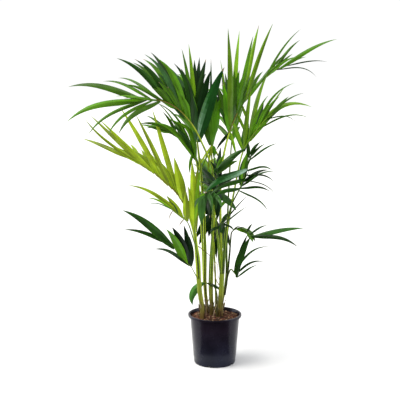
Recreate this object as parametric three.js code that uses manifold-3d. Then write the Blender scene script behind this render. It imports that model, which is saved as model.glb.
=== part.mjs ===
// A kentia palm in a black nursery pot.
// Millimetres, +Z up, X to the right, Y to the back. The origin is the centre of the pot's flat underside.

import * as THREE from 'three';
import { mergeVertices } from 'three/addons/utils/BufferGeometryUtils.js';
import Module from 'manifold-3d';

const wasm = await Module();
wasm.setup();

// ---------------------------------------------------------------- driving dimensions

const GAP = 0.3; // air between two neighbouring solids

const POT = {
  height: 195,
  rimRadius: 105,
  bodyTopRadius: 97,
  stepRadius: 84,
  baseRadius: 81,
  stepHeight: 27,
  wall: 2.5,
  floor: 3,
  footRound: 3,
  lipDepth: 9,
  lipRound: 2,
  sides: 24,
  notches: 5,
  notchWidth: 12,
  notchHeight: 6,
  notchDepth: 6,
  firstNotch: -18, // degrees from the front, to the right
};

const SOIL = { level: 181, bottom: POT.floor + GAP, edgeDrop: 3, edgeSlope: 14 };

// A stem widens by `flare` at its foot and bends at two shares of its height.
const STEM = { sides: 8, steps: 5, flare: 2, flareDecay: 8, bends: [0.35, 0.7] };
const PETIOLE = { sides: 5, steps: 5, footRadius: 4.6, topRadius: 2.7 };
const RIB = { sides: 4, steps: 5, topRadius: 1.1 };

// The ridge and the drop of the margins are shares of a leaflet's half width. Its root keeps `inset`, a
// share of the rib, away from the rib's ends.
const LEAFLET = { ridge: 0.2, marginDrop: 0.15, inset: 0.015 };

// Where a leaflet's width is given, and its share of the full width there. A leaflet that reaches less
// than SHORT_REACH has the short outline.
const SHORT_REACH = 130;
const LONG_OUTLINE = [
  [0, 0.12],
  [0.24, 0.96],
  [0.64, 0.84],
];
const SHORT_OUTLINE = [
  [0, 0.12],
  [0.42, 1],
];

// The sheathed stems, from a flat foot on the soil to the top where the petioles part.
const STEMS = {
  front_left: { foot: [-46, -28], top: [-62, -28, 335], footRadius: 9.5, topRadius: 10.5 },
  back_left: { foot: [-31, 43], top: [-40, 42, 315], footRadius: 7, topRadius: 8.5 },
  centre: { foot: [-12, 20], top: [-15, 20, 300], footRadius: 8, topRadius: 10 },
  right: { foot: [20, 2], top: [27, 0, 350], footRadius: 9.5, topRadius: 11.5 },
  back_right: { foot: [32, 38], top: [50, 32, 340], footRadius: 6.5, topRadius: 9 },
};

// Each frond stands on its stem at an offset `seat`, goes up through the points of its petiole to the
// foot of its rib, and carries rows of leaflets. In a row the leaflets are evenly spaced between the
// shares `from` and `to` of the rib. `rise` is the direction in the front view (0 right, 90 up, 180
// left), `reach` the length in that view, `toward` the lean to the front in degrees, `facing` the way
// the upper face looks (0 up, 90 to the front), `bow` the arch as a share of the length, and `fan` the
// degrees by which neighbours part, one to the front and the next to the back.
const FRONDS = [
  {
    name: 'arching_left',
    stem: 'centre',
    seat: [-4.8, 3],
    petiole: [[-16, 14, 410], [-7, 6, 530], [1, -3, 650], [-2, -9, 740]],
    blades: [
      {
        name: 'inner',
        rib: [[-60, -18, 885], [-89, -35, 937], [-133, -60, 988], [-176, -85, 1017]],
        rows: [
          {
            from: 0.22, to: 0.93, rise: [110, 114, 120, 124, 127, 140, 138],
            reach: [262, 252, 275, 255, 230, 222, 250], width: [24, 22, 24, 12, 22, 22, 22],
            toward: [-6, -2], fan: 26, facing: 60, bow: 0.06,
          },
          {
            from: 0.2, to: 0.8, rise: [104, 112, 124], reach: [140, 150, 150], width: 20,
            toward: [-10, -40], facing: 30, bow: 0.06,
          },
        ],
      },
      {
        name: 'outer',
        rib: [[-176, -85, 1017], [-224, -115, 1030], [-273, -145, 1031]],
        rows: [
          {
            from: 0.3, to: 0.9, rise: [154, 161, 171], reach: [190, 200, 283], width: [14, 14, 28],
            toward: [-36, -10], facing: 50, bow: 0.08,
          },
          {
            from: 0.3, to: 1, rise: [220, 219, 212, 197], reach: [180, 200, 238, 268],
            width: [24, 14, 16, 28], toward: [44, 16], facing: 60, bow: 0.09,
          },
        ],
      },
    ],
  },
  {
    name: 'back_centre',
    stem: 'back_left',
    seat: [0, -4.8],
    petiole: [[-40, 36, 480], [-44, 34, 620], [-56, 34, 760]],
    blades: [
      {
        rib: [[-68, 42, 862], [-76, 80, 930], [-84, 140, 992], [-86, 220, 1030]],
        rows: [
          {
            from: 0.05, to: 1, rise: [105, 101, 100, 95, 93, 81, 103],
            reach: [285, 272, 300, 188, 274, 166, 130], width: [28, 26, 18, 24, 20, 18, 20],
            toward: [-5, -60], facing: 60, bow: 0.03,
          },
          {
            from: 0, to: 0.9, rise: [69, 79, 78, 70, 58], reach: [304, 295, 180, 205, 215],
            width: [44, 22, 24, 18, 18], toward: [8, -50], facing: 70, bow: 0.03,
          },
        ],
      },
    ],
  },
  {
    name: 'centre_green',
    stem: 'centre',
    seat: [4.8, 3],
    petiole: [[-9, 26, 420], [-6, 34, 560], [-8, 46, 720]],
    blades: [
      {
        rib: [[-14, 58, 850], [-12, 62, 872], [-10, 68, 895]],
        rows: [
          {
            from: 0, to: 1, rise: [103, 89, 74], reach: [125, 185, 110], width: [30, 34, 26],
            toward: [-16, -20], facing: 80, bow: 0.03,
          },
        ],
      },
    ],
  },
  {
    name: 'upright_right',
    stem: 'right',
    seat: [0, 7],
    petiole: [[24, 10, 470], [20, 12, 640], [25, 16, 770]],
    blades: [
      {
        name: 'inner',
        rib: [[54, 28, 902], [74, 45, 954], [101, 66, 1004], [138, 90, 1053]],
        rows: [
          {
            from: 0.08, to: 0.84, rise: [90, 86, 79, 76, 72], reach: [380, 355, 295, 332, 295],
            width: [22, 22, 18, 22, 18], toward: [4, 0], fan: 22, facing: 75, bow: 0.02,
          },
          {
            from: 0.06, to: 0.96, rise: [93, 90, 86, 80], reach: [225, 200, 165, 130], width: 24,
            toward: [-30, -42], facing: 60, bow: 0.04,
          },
          {
            from: 0.06, to: 0.2, rise: [116, 123], reach: [125, 118], width: 15, toward: [-22, -22],
            facing: 60, bow: 0.03,
          },
          {
            from: 0.1, to: 0.7, rise: [-72, -66, -70, -72], reach: [100, 100, 85, 70], width: 10,
            toward: [12, 12], facing: 60, bow: 0.02,
          },
          {
            from: 0.1, to: 0.2, rise: [240, 228], reach: [70, 55], width: 9, toward: [36, 44], facing: 50,
            bow: 0.04,
          },
        ],
      },
      {
        name: 'outer',
        rib: [[138, 90, 1053], [188, 116, 1104], [242, 142, 1143], [280, 165, 1159]],
        rows: [
          {
            from: 0.36, to: 1, rise: [55, 48, 27, 6], reach: [228, 176, 235, 185], width: [9, 13, 21, 7],
            toward: [0, 0], fan: 24, facing: 60, bow: 0.05,
          },
          {
            from: 0.68, to: 0.68, rise: [-12], reach: [155], width: 7, toward: [20, 20], facing: 50,
            bow: 0.15,
          },
        ],
      },
    ],
  },
  {
    name: 'right_mid',
    stem: 'right',
    seat: [6.8, 2.2],
    petiole: [[38, -4, 440], [52, -12, 560], [74, -18, 690]],
    blades: [
      {
        rib: [[104, -26, 832], [127, -44, 876], [151, -66, 914], [179, -92, 952], [208, -120, 979]],
        rows: [
          {
            from: 0.04, to: 0.75, rise: [85, 72, 53, 54, 36], reach: [233, 272, 240, 188, 174],
            width: [18, 18, 10, 9, 8], toward: [-4, -10], fan: 24, facing: 60,
            bow: [0.03, 0.07, 0.12, 0.03, 0.08],
          },
          {
            from: 0.25, to: 0.8, rise: [30, 13, -6], reach: [255, 192, 104], width: [24, 8, 7],
            toward: [20, 36], facing: 60, bow: [0.2, 0.13, 0.15],
          },
          {
            from: 0, to: 0.5, rise: [82, 70, 60], reach: [130, 140, 130], width: 22, toward: [-30, -40],
            facing: 50, bow: 0.05,
          },
        ],
      },
    ],
  },
  {
    name: 'right_low',
    stem: 'right',
    seat: [4.2, -5.8],
    petiole: [[34, -26, 450], [44, -54, 560], [62, -78, 640]],
    blades: [
      {
        rib: [[84, -100, 690], [102, -130, 740], [113, -170, 794], [118, -215, 840]],
        rows: [
          {
            from: 0.04, to: 0.16, rise: [-35, 26], reach: [130, 132], width: [12, 18], toward: [20, 25],
            facing: 30, bow: 0.1,
          },
          {
            from: 0.32, to: 0.55, rise: [-24, 4], reach: [125, 90], width: [6, 16], toward: [30, 35],
            facing: 30, bow: 0.12,
          },
          {
            from: 0.8, to: 1, rise: [32, 50], reach: [122, 58], width: [9, 14], toward: [10, 10],
            facing: 40, bow: 0.06,
          },
          {
            from: 0.1, to: 0.6, rise: [196, 209], reach: [105, 178], width: [20, 30], toward: [26, 22],
            facing: 45, bow: 0.08,
          },
        ],
      },
    ],
  },
  {
    name: 'light_left',
    stem: 'front_left',
    seat: [-4.4, 4.4],
    petiole: [[-72, -22, 420], [-82, -16, 520]],
    blades: [
      {
        rib: [
          [-118, -4, 626], [-152, 14, 674], [-194, 35, 710],
          [-239, 60, 745], [-287, 85, 774], [-334, 110, 798],
        ],
        rows: [
          {
            from: 0.03, to: 1, rise: [101, 106, 112, 122, 134, 138, 137, 161],
            reach: [194, 346, 304, 342, 330, 298, 272, 222], width: [28, 24, 22, 26, 24, 22, 14, 22],
            toward: [-4, -8], fan: 24, facing: 62, bow: [0.02, 0.01, 0.01, 0.01, 0, 0, -0.05, 0.02],
          },
          {
            from: 0.2, to: 0.8, rise: [104, 116, 128], reach: [120, 120, 120], width: 18,
            toward: [-46, -50], facing: 40, bow: 0.05,
          },
        ],
      },
    ],
  },
  {
    name: 'left_mid',
    stem: 'back_left',
    seat: [-4.4, 2.6],
    petiole: [[-48, 48, 440], [-56, 54, 580], [-64, 60, 700]],
    blades: [
      {
        rib: [[-74, 68, 790], [-98, 95, 846], [-138, 130, 880], [-179, 165, 897], [-216, 200, 906]],
        rows: [
          {
            from: 0.12, to: 1, rise: [118, 129, 122, 148, 168], reach: [110, 200, 112, 118, 94],
            width: [14, 8, 14, 14, 13], toward: [-10, -20], fan: 22, facing: 55, bow: 0.05,
          },
          {
            from: 0.12, to: 0.8, rise: [160, 158, 165, 172], reach: [80, 100, 90, 60],
            width: [12, 16, 16, 10], toward: [40, 30], facing: 45, bow: 0.05,
          },
        ],
      },
    ],
  },
  {
    name: 'light_low',
    stem: 'front_left',
    seat: [4.4, -4.4],
    petiole: [[-66, -44, 430], [-86, -52, 510]],
    blades: [
      {
        rib: [[-106, -58, 568], [-126, -76, 590], [-146, -98, 610], [-164, -120, 628]],
        rows: [
          {
            from: 0.15, to: 1, rise: [146, 131, 140, 152], reach: [175, 104, 104, 170],
            width: [13, 12, 8, 14], toward: [12, 14], fan: 18, facing: 45, bow: 0.05,
          },
          {
            from: 0.03, to: 0.1, rise: [95, 90], reach: [128, 118], width: 24, toward: [6, 6], facing: 75,
            bow: 0.03,
          },
          {
            from: 0.1, to: 0.9, rise: [154, 235, 222], reach: [120, 45, 40], width: [12, 7, 6],
            toward: [24, 30], facing: 40, bow: 0.08,
          },
        ],
      },
    ],
  },
  {
    name: 'dark_low_left',
    stem: 'front_left',
    seat: [-4.4, -4.4],
    petiole: [[-80, -38, 368]],
    blades: [
      {
        rib: [[-93, -42, 392], [-111, -56, 412], [-141, -80, 460], [-168, -106, 494]],
        rows: [
          {
            from: 0, to: 0.25, rise: [99, 113, 117], reach: [160, 166, 170], width: [24, 32, 34],
            toward: [-10, 30], facing: 65, bow: 0.04,
          },
          {
            from: 0.7, to: 1, rise: [139, 158], reach: [256, 172], width: [34, 14], toward: [20, -16],
            facing: 55, bow: 0.05,
          },
          {
            from: 0.3, to: 0.3, rise: [142], reach: [152], width: 14, toward: [26, 26], facing: 40,
            bow: 0.12,
          },
        ],
      },
    ],
  },
  {
    name: 'drooping_left',
    stem: null,
    seat: [7, -16],
    petiole: [[9, -14, 240], [6, -6, 285], [-8, 2, 306]],
    blades: [
      {
        rib: [[-31, 6, 316], [-46, 7, 317], [-62, 8, 312]],
        rows: [
          {
            from: 0.4, to: 1, rise: [236, 254], reach: [85, 90], width: [20, 30], toward: [-10, 0],
            facing: 70, bow: 0.14,
          },
        ],
      },
    ],
  },
  {
    name: 'arching_low_right',
    stem: 'back_right',
    seat: [0.5, -5],
    petiole: [[58, 24, 430], [62, 20, 490]],
    blades: [
      {
        rib: [[66, 18, 516], [80, 8, 530], [94, -4, 536], [115, -22, 531], [130, -38, 521], [139, -54, 512]],
        rows: [
          {
            from: 0.7, to: 1, rise: [50, 20, 6], reach: [30, 78, 200], width: [8, 8, 22],
            toward: [-30, -14], facing: 50, bow: [0.08, 0.08, 0.03],
          },
          {
            from: 0.7, to: 1, rise: [-62, -9], reach: [40, 163], width: [18, 18], toward: [40, 26],
            facing: 50, bow: 0.1,
          },
          {
            from: 0.5, to: 0.9, rise: [12, -20], reach: [60, 70], width: 12, toward: [-55, -50], facing: 20,
            bow: 0.1,
          },
        ],
      },
    ],
  },
  {
    name: 'dark_low_right',
    stem: 'back_right',
    seat: [4.6, 2.6],
    petiole: [[64, 28, 366]],
    blades: [
      {
        rib: [[74, 18, 356], [80, 10, 349], [85, 2, 338]],
        rows: [
          {
            from: 0.35, to: 0.35, rise: [69], reach: [165], width: 28, toward: [12, 12], facing: 70,
            bow: 0.04,
          },
          {
            from: 0.5, to: 1, rise: [36, 32, 37], reach: [172, 118, 98], width: [7, 8, 7], toward: [12, 30],
            facing: 50, bow: 0.1,
          },
        ],
      },
    ],
  },
  {
    name: 'bright_centre',
    stem: 'front_left',
    seat: [4.4, 4.4],
    petiole: [[-62, -30, 410], [-70, -40, 470]],
    blades: [
      {
        rib: [[-76, -46, 525], [-78, -48, 548], [-80, -50, 572]],
        rows: [
          {
            from: 0, to: 1, rise: [95, 87, 92], reach: [225, 240, 235], width: [30, 28, 28],
            toward: [6, 10], facing: 75, bow: 0.03,
          },
        ],
      },
    ],
  },
  {
    name: 'drooping_centre',
    stem: 'centre',
    seat: [0, -5.4],
    petiole: [[-12, 2, 400], [-12, -32, 520], [-8, -68, 620]],
    blades: [
      {
        rib: [[-6, -98, 684], [-20, -126, 697], [-36, -152, 694], [-50, -174, 683]],
        rows: [
          {
            from: 0.2, to: 1, rise: [272, 266, 268], reach: [160, 165, 92], width: [22, 24, 30],
            toward: [6, 12], facing: 80, bow: 0.06,
          },
          {
            from: 0.1, to: 0.9, rise: [300, 230], reach: [60, 50], width: [18, 18], toward: [50, 55],
            facing: 30, bow: 0.12,
          },
        ],
      },
    ],
  },
  {
    name: 'hanging_centre',
    stem: 'right',
    seat: [-6.8, 2.2],
    petiole: [[14, -6, 420], [14, -26, 500]],
    blades: [
      {
        rib: [[22, -48, 550], [26, -68, 568], [24, -92, 571], [17, -112, 562]],
        rows: [
          {
            from: 0.2, to: 1, rise: [283, 276, 269, 262], reach: [130, 150, 155, 150],
            width: [20, 18, 22, 16], toward: [0, 6], facing: 80, bow: 0.06,
          },
          {
            from: 0.3, to: 0.9, rise: [330, 215], reach: [50, 50], width: [16, 16], toward: [40, 30],
            facing: 30, bow: 0.12,
          },
          {
            from: 0.02, to: 0.08, rise: [35, 47], reach: [126, 152], width: 6, toward: [-14, -14],
            facing: 50, bow: 0.02,
          },
        ],
      },
    ],
  },
  {
    name: 'dark_front',
    stem: 'right',
    seat: [-4.2, -5.8],
    petiole: [[16, -30, 450], [4, -52, 560]],
    blades: [
      {
        rib: [[12, -60, 678], [8, -104, 724], [2, -160, 758], [-4, -218, 778]],
        rows: [
          {
            from: 0.1, to: 1, rise: [138, 126, 115, 103], reach: [102, 95, 90, 80], width: 22,
            toward: [-6, 20], facing: 50, bow: 0.1,
          },
          {
            from: 0.02, to: 1, rise: [-46, 51, 64, 79], reach: [100, 164, 95, 88], width: [16, 22, 18, 16],
            toward: [-8, 14], facing: 50, bow: 0.06,
          },
          {
            from: 0.1, to: 0.1, rise: [277], reach: [108], width: 24, toward: [0, 0], facing: 80, bow: 0.04,
          },
        ],
      },
    ],
  },
  {
    name: 'back_left',
    stem: 'back_left',
    seat: [4.4, 2.6],
    petiole: [[-36, 70, 430], [-46, 112, 600], [-60, 148, 760]],
    blades: [
      {
        rib: [[-72, 182, 880], [-84, 238, 960], [-94, 308, 1012], [-100, 388, 1034]],
        rows: [
          {
            from: 0.05, to: 1, rise: [142, 136, 128, 118, 108], reach: [100, 110, 110, 100, 70], width: 24,
            toward: [-46, -64], facing: 20, bow: 0.1,
          },
          {
            from: 0.05, to: 1, rise: [38, 44, 54, 66, 80], reach: [90, 96, 96, 90, 60], width: 24,
            toward: [-46, -64], facing: 20, bow: 0.1,
          },
        ],
      },
    ],
  },
  {
    name: 'back_right',
    stem: 'back_right',
    seat: [-4.2, 3.4],
    petiole: [[48, 74, 440], [54, 116, 600], [62, 150, 750]],
    blades: [
      {
        rib: [[70, 184, 860], [82, 246, 946], [92, 322, 998], [98, 404, 1018]],
        rows: [
          {
            from: 0.05, to: 1, rise: [146, 138, 128, 116, 104], reach: [76, 84, 84, 76, 56], width: 24,
            toward: [-50, -68], facing: 20, bow: 0.1,
          },
          {
            from: 0.05, to: 1, rise: [44, 48, 56, 68, 82], reach: [56, 62, 66, 66, 50], width: 24,
            toward: [-56, -68], facing: 20, bow: 0.1,
          },
        ],
      },
    ],
  },
  {
    name: 'back_low',
    stem: null,
    seat: [6, 52],
    petiole: [[4, 74, 300], [-2, 110, 440]],
    blades: [
      {
        rib: [[-8, 156, 560], [-14, 226, 640], [-18, 312, 688], [-20, 400, 700]],
        rows: [
          {
            from: 0.05, to: 1, rise: [156, 150, 142, 130, 112], reach: [58, 66, 66, 58, 44], width: 22,
            toward: [-54, -70], facing: 12, bow: 0.1,
          },
          {
            from: 0.05, to: 1, rise: [26, 32, 40, 52, 70], reach: [58, 66, 66, 58, 44], width: 22,
            toward: [-54, -70], facing: 12, bow: 0.1,
          },
        ],
      },
    ],
  },
];

// ---------------------------------------------------------------- shapes

const vec = (p) => new THREE.Vector3(...p);
const radians = THREE.MathUtils.degToRad;
const UP = new THREE.Vector3(0, 0, 1);

function indexed(positions, triangles) {
  const numbers = positions.flatMap((p) => p.toArray());
  const geometry = new THREE.BufferGeometry();
  geometry.setAttribute('position', new THREE.Float32BufferAttribute(numbers, 3));
  geometry.setIndex(triangles.flat());
  return geometry;
}

// A closed skin over rings with the same number of corners each, ending in flat caps or in a tip.
function skin(rings, tip = null) {
  const n = rings[0].length;
  const triangles = [];
  for (let r = 0; r + 1 < rings.length; r += 1) {
    for (let i = 0; i < n; i += 1) {
      const a = r * n + i;
      const b = r * n + ((i + 1) % n);
      triangles.push([a, b, b + n], [a, b + n, a + n]);
    }
  }
  for (let i = 1; i + 1 < n; i += 1) triangles.push([0, i + 1, i]);
  const last = (rings.length - 1) * n;
  const positions = rings.flat();
  if (tip) {
    positions.push(tip);
    for (let i = 0; i < n; i += 1) triangles.push([last + i, last + ((i + 1) % n), positions.length - 1]);
  } else {
    for (let i = 1; i + 1 < n; i += 1) triangles.push([last, last + i, last + i + 1]);
  }
  return indexed(positions, triangles);
}

// The corners of a round section at a share `u` of a curve, square to `along`. They are counted from the
// X direction, or from Y where the limb itself runs along X.
function ring(curve, u, along, radius, sides) {
  const runsAlongX = Math.abs(along.x) > 0.9;
  const across = runsAlongX ? new THREE.Vector3(0, 1, 0) : new THREE.Vector3(1, 0, 0);
  const v = along.clone().cross(across).normalize();
  const w = v.clone().cross(along).normalize();
  return Array.from({ length: sides }, (_, i) => {
    const angle = (2 * Math.PI * i) / sides;
    const centre = curve.getPoint(u);
    return centre.addScaledVector(w, radius * Math.cos(angle)).addScaledVector(v, radius * Math.sin(angle));
  });
}

// A round limb along part of a curve, with a radius that follows the share of its length. A level end is
// cut flat, so that it can stand on something.
function limb(curve, [start, end], radiusAt, { sides, steps, levelStart = false, levelEnd = false }) {
  const rings = [];
  for (let k = 0; k <= steps; k += 1) {
    const t = k / steps;
    const u = THREE.MathUtils.lerp(start, end, t);
    const level = (k === 0 && levelStart) || (k === steps && levelEnd);
    rings.push(ring(curve, u, level ? UP : curve.getTangent(u), radiusAt(t), sides));
  }
  return skin(rings);
}

// One leaflet: a thin ribbon with a ridge along its upper face, drawn out to a point.
function leaflet(root, { rise, reach, toward, facing, bow, width }) {
  const lean = radians(toward);
  const level = Math.cos(radians(rise)) * Math.cos(lean);
  const along = new THREE.Vector3(level, -Math.sin(lean), Math.sin(radians(rise)) * Math.cos(lean));
  const length = reach / Math.cos(lean);
  const arch = 4 * bow * length;
  const over = UP.clone().addScaledVector(along, -along.z).normalize();
  const at = (t) => root.clone().addScaledVector(along, length * t).addScaledVector(over, arch * t * (1 - t));
  const look = new THREE.Vector3(0, -Math.sin(radians(facing)), Math.cos(radians(facing)));
  const outline = reach < SHORT_REACH ? SHORT_OUTLINE : LONG_OUTLINE;
  const rings = outline.map(([t, share]) => {
    const slope = (arch / length) * (1 - 2 * t);
    const tangent = along.clone().addScaledVector(over, slope).normalize();
    const face = look.clone().addScaledVector(tangent, -look.dot(tangent)).normalize();
    const across = tangent.clone().cross(face);
    const half = (width * share) / 2;
    const low = at(t).addScaledVector(face, -half * LEAFLET.marginDrop);
    return [
      low.clone().addScaledVector(across, half),
      low.clone().addScaledVector(across, -half),
      at(t).addScaledVector(face, half * LEAFLET.ridge),
    ];
  });
  return skin(rings, at(1));
}

// ---------------------------------------------------------------- solids

const WELD = 1e-4; // vertices nearer than this are one
const SLIVER = 0.15; // edges shorter than this are folded away where leaflets run together

function solid(geometry) {
  const bare = new THREE.BufferGeometry().copy(geometry);
  bare.deleteAttribute('normal').deleteAttribute('uv');
  const welded = mergeVertices(bare, WELD);
  return new wasm.Manifold(
    new wasm.Mesh({
      numProp: 3,
      vertProperties: new Float32Array(welded.getAttribute('position').array),
      triVerts: new Uint32Array(welded.getIndex().array),
    }),
  );
}

function surface(manifold) {
  const mesh = manifold.getMesh();
  const geometry = new THREE.BufferGeometry();
  geometry.setAttribute('position', new THREE.Float32BufferAttribute(mesh.vertProperties, 3));
  geometry.setIndex([...mesh.triVerts]);
  return geometry;
}

function joined(geometries) {
  const whole = geometries.map(solid).reduce((sum, next) => sum.add(next));
  return whole.simplify(SLIVER);
}

function lathe(profile) {
  const geometry = new THREE.LatheGeometry(profile.map(([r, z]) => new THREE.Vector2(r, z)), POT.sides);
  return geometry.rotateX(Math.PI / 2);
}

// The pot's outer radius at a height below its lip.
function wallRadius(z) {
  const { height, lipDepth, stepHeight, baseRadius, stepRadius, bodyTopRadius } = POT;
  if (z < stepHeight) return THREE.MathUtils.mapLinear(z, 0, stepHeight, baseRadius, stepRadius);
  return THREE.MathUtils.mapLinear(z, stepHeight, height - lipDepth, stepRadius, bodyTopRadius);
}

function potGeometry() {
  const { height, rimRadius, bodyTopRadius, baseRadius, stepRadius, stepHeight } = POT;
  const { wall, floor, footRound, lipDepth, lipRound } = POT;
  const lipFoot = height - lipDepth;
  const lipWeb = height - wall;
  const shell = lathe([
    [0, 0],
    [baseRadius - footRound, 0],
    [baseRadius, footRound],
    [stepRadius, stepHeight],
    [bodyTopRadius, lipFoot],
    [bodyTopRadius + lipRound, lipWeb],
    [rimRadius - wall, lipWeb],
    [rimRadius - wall, lipFoot],
    [rimRadius, lipFoot],
    [rimRadius, height - lipRound],
    [rimRadius - lipRound, height],
    [bodyTopRadius + lipRound, height],
    [bodyTopRadius, height - lipRound],
    [bodyTopRadius - wall, lipFoot],
    [stepRadius - wall, stepHeight],
    [baseRadius - wall, floor],
    [0, floor],
  ]);
  let pot = solid(shell);
  for (let i = 0; i < POT.notches; i += 1) {
    const notch = new THREE.BoxGeometry(POT.notchWidth, POT.notchDepth * 2, POT.notchHeight * 2);
    notch.translate(0, -baseRadius, 0).rotateZ(radians(POT.firstNotch + (360 * i) / POT.notches));
    pot = pot.subtract(solid(notch));
  }
  return surface(pot);
}

function soilGeometry() {
  const inside = (z) => wallRadius(z) - POT.wall - GAP;
  const edge = SOIL.level - SOIL.edgeDrop;
  return lathe([
    [0, SOIL.bottom],
    [inside(SOIL.bottom) - 1, SOIL.bottom],
    [inside(POT.stepHeight), POT.stepHeight],
    [inside(edge), edge],
    [inside(edge) - SOIL.edgeSlope, SOIL.level],
    [0, SOIL.level],
  ]);
}

// The lower bend of a stem leans only a third as far out as the stem as a whole.
function stemCurve({ foot, top }) {
  const low = vec([...foot, SOIL.level + GAP]);
  const high = vec(top);
  const [first, second] = STEM.bends.map((share) => low.clone().lerp(high, share));
  first.x = THREE.MathUtils.lerp(low.x, first.x, 1 / 3);
  first.y = THREE.MathUtils.lerp(low.y, first.y, 1 / 3);
  return new THREE.CatmullRomCurve3([low, first, second, high]);
}

// The whole run of a frond, from its seat to the tip of the last rib, and the share of the run where each
// part ends.
function frondRun(frond) {
  const stem = STEMS[frond.stem];
  const seat = stem
    ? [stem.top[0] + frond.seat[0], stem.top[1] + frond.seat[1], stem.top[2] + GAP]
    : [...frond.seat, SOIL.level + GAP];
  const points = [seat, ...frond.petiole, frond.blades[0].rib[0]];
  const ends = [points.length - 1];
  for (const blade of frond.blades) {
    points.push(...blade.rib.slice(1));
    ends.push(points.length - 1);
  }
  const curve = new THREE.CatmullRomCurve3(points.map(vec), false, 'centripetal');
  return { curve, shares: ends.map((n) => n / (points.length - 1)) };
}

const valueAt = (value, i) => (Array.isArray(value) ? value[i] : value);

// A point on the straight pieces that a limb is made of, so that what grows from it sits inside it.
function onLimb(curve, [start, end], steps, share) {
  const k = Math.min(Math.floor(share * steps), steps - 1);
  const at = (n) => curve.getPoint(THREE.MathUtils.lerp(start, end, n / steps));
  return at(k).lerp(at(k + 1), share * steps - k);
}

function leaflets(curve, part, rows) {
  return rows.flatMap((row) => {
    const last = Math.max(1, row.rise.length - 1);
    return row.rise.map((rise, i) => {
      const along = THREE.MathUtils.lerp(row.from, row.to, i / last);
      const inset = THREE.MathUtils.clamp(along, LEAFLET.inset, 1 - LEAFLET.inset);
      const fan = i % 2 ? -(row.fan ?? 0) : row.fan ?? 0;
      return leaflet(onLimb(curve, part, RIB.steps, inset), {
        rise,
        reach: row.reach[i],
        width: valueAt(row.width, i),
        toward: THREE.MathUtils.lerp(...row.toward, i / last) + fan,
        facing: row.facing,
        bow: valueAt(row.bow, i),
      });
    });
  });
}

// ---------------------------------------------------------------- the plant

const group = new THREE.Group();
group.name = 'kentia_palm';

const MATERIALS = {
  pot: { color: 0x1d1b20, roughness: 0.45 },
  soil: { color: 0x50382e, roughness: 1 },
  stem: { color: 0x7d8a2e, roughness: 0.6 },
  petiole: { color: 0x8a9a38, roughness: 0.5 },
  blade: { color: 0x3a6b16, roughness: 0.45 },
};

function place(name, geometry, kind) {
  geometry.deleteAttribute('uv');
  geometry.computeVertexNormals();
  const mesh = new THREE.Mesh(geometry, new THREE.MeshStandardMaterial({ ...MATERIALS[kind], metalness: 0 }));
  mesh.name = name;
  group.add(mesh);
}

function placeStem(name, stem) {
  const { sides, steps, flare, flareDecay } = STEM;
  const taper = (t) => THREE.MathUtils.lerp(stem.footRadius, stem.topRadius, t);
  const radius = (t) => taper(t) + flare * Math.exp(-flareDecay * t);
  const ends = { sides, steps, levelStart: true, levelEnd: true };
  place(`stem_${name}`, limb(stemCurve(stem), [0, 1], radius, ends), 'stem');
}

function placePetiole(frond, curve, end) {
  const { sides, steps, footRadius, topRadius } = PETIOLE;
  const radius = (t) => THREE.MathUtils.lerp(footRadius, topRadius, t);
  const petiole = limb(curve, [0, end], radius, { sides, steps, levelStart: true });
  place(`petiole_${frond.name}`, petiole, 'petiole');
}

function placeBlade(frond, blade, curve, part, radii) {
  const radius = (t) => THREE.MathUtils.lerp(...radii, t);
  const rib = limb(curve, part, radius, RIB);
  const name = blade.name ? `frond_${frond.name}_${blade.name}` : `frond_${frond.name}`;
  place(name, surface(joined([rib, ...leaflets(curve, part, blade.rows)])), 'blade');
}

function placeFrond(frond) {
  const { curve, shares } = frondRun(frond);
  const gap = GAP / curve.getLength();
  const count = frond.blades.length;
  const ribRadius = (share) => THREE.MathUtils.lerp(PETIOLE.topRadius, RIB.topRadius, share);
  placePetiole(frond, curve, shares[0] - gap);
  frond.blades.forEach((blade, i) => {
    const last = i + 1 === count;
    const part = [shares[i], shares[i + 1] - (last ? 0 : gap)];
    placeBlade(frond, blade, curve, part, [ribRadius(i / count), ribRadius((i + 1) / count)]);
  });
}

place('pot', potGeometry(), 'pot');
place('soil', soilGeometry(), 'soil');
Object.entries(STEMS).forEach(([name, stem]) => placeStem(name, stem));
FRONDS.forEach(placeFrond);

export default group;
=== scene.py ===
"""A kentia palm in a black nursery pot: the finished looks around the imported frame.

Lengths in the tables below are millimetres, as the frame's source has them; MM turns them into metres.
"""
import math
import random

import bpy
import numpy as np
from mathutils import Matrix, Vector, noise


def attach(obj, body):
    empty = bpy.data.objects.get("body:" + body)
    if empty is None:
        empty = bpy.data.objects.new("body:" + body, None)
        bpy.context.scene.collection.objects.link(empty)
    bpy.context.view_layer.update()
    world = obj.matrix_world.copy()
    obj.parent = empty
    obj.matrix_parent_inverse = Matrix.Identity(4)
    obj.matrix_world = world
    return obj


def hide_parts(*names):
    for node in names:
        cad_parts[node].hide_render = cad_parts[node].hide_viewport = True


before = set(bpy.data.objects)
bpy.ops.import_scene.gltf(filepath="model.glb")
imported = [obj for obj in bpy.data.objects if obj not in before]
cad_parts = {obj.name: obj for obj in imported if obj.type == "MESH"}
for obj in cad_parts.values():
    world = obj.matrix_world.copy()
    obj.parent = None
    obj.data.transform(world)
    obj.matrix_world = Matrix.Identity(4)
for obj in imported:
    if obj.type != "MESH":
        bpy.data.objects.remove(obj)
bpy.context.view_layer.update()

MM = 0.001
UP = np.array([0.0, 0.0, 1.0])
DICE = random.Random(21)


def either_way(limit):
    """A random value of up to the limit, above or below nought."""
    return DICE.uniform(-limit, limit)


def placed(name, data):
    """A new object in the scene."""
    item = bpy.data.objects.new(name, data)
    bpy.context.scene.collection.objects.link(item)
    return item


# ---- camera

# The eye is in metres, the pitch in degrees and the lens in millimetres.
CAMERA = {"eye": (-0.0582, -3.0, 1.0626), "pitch_down": 7.93, "lens": 70.74}


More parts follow.
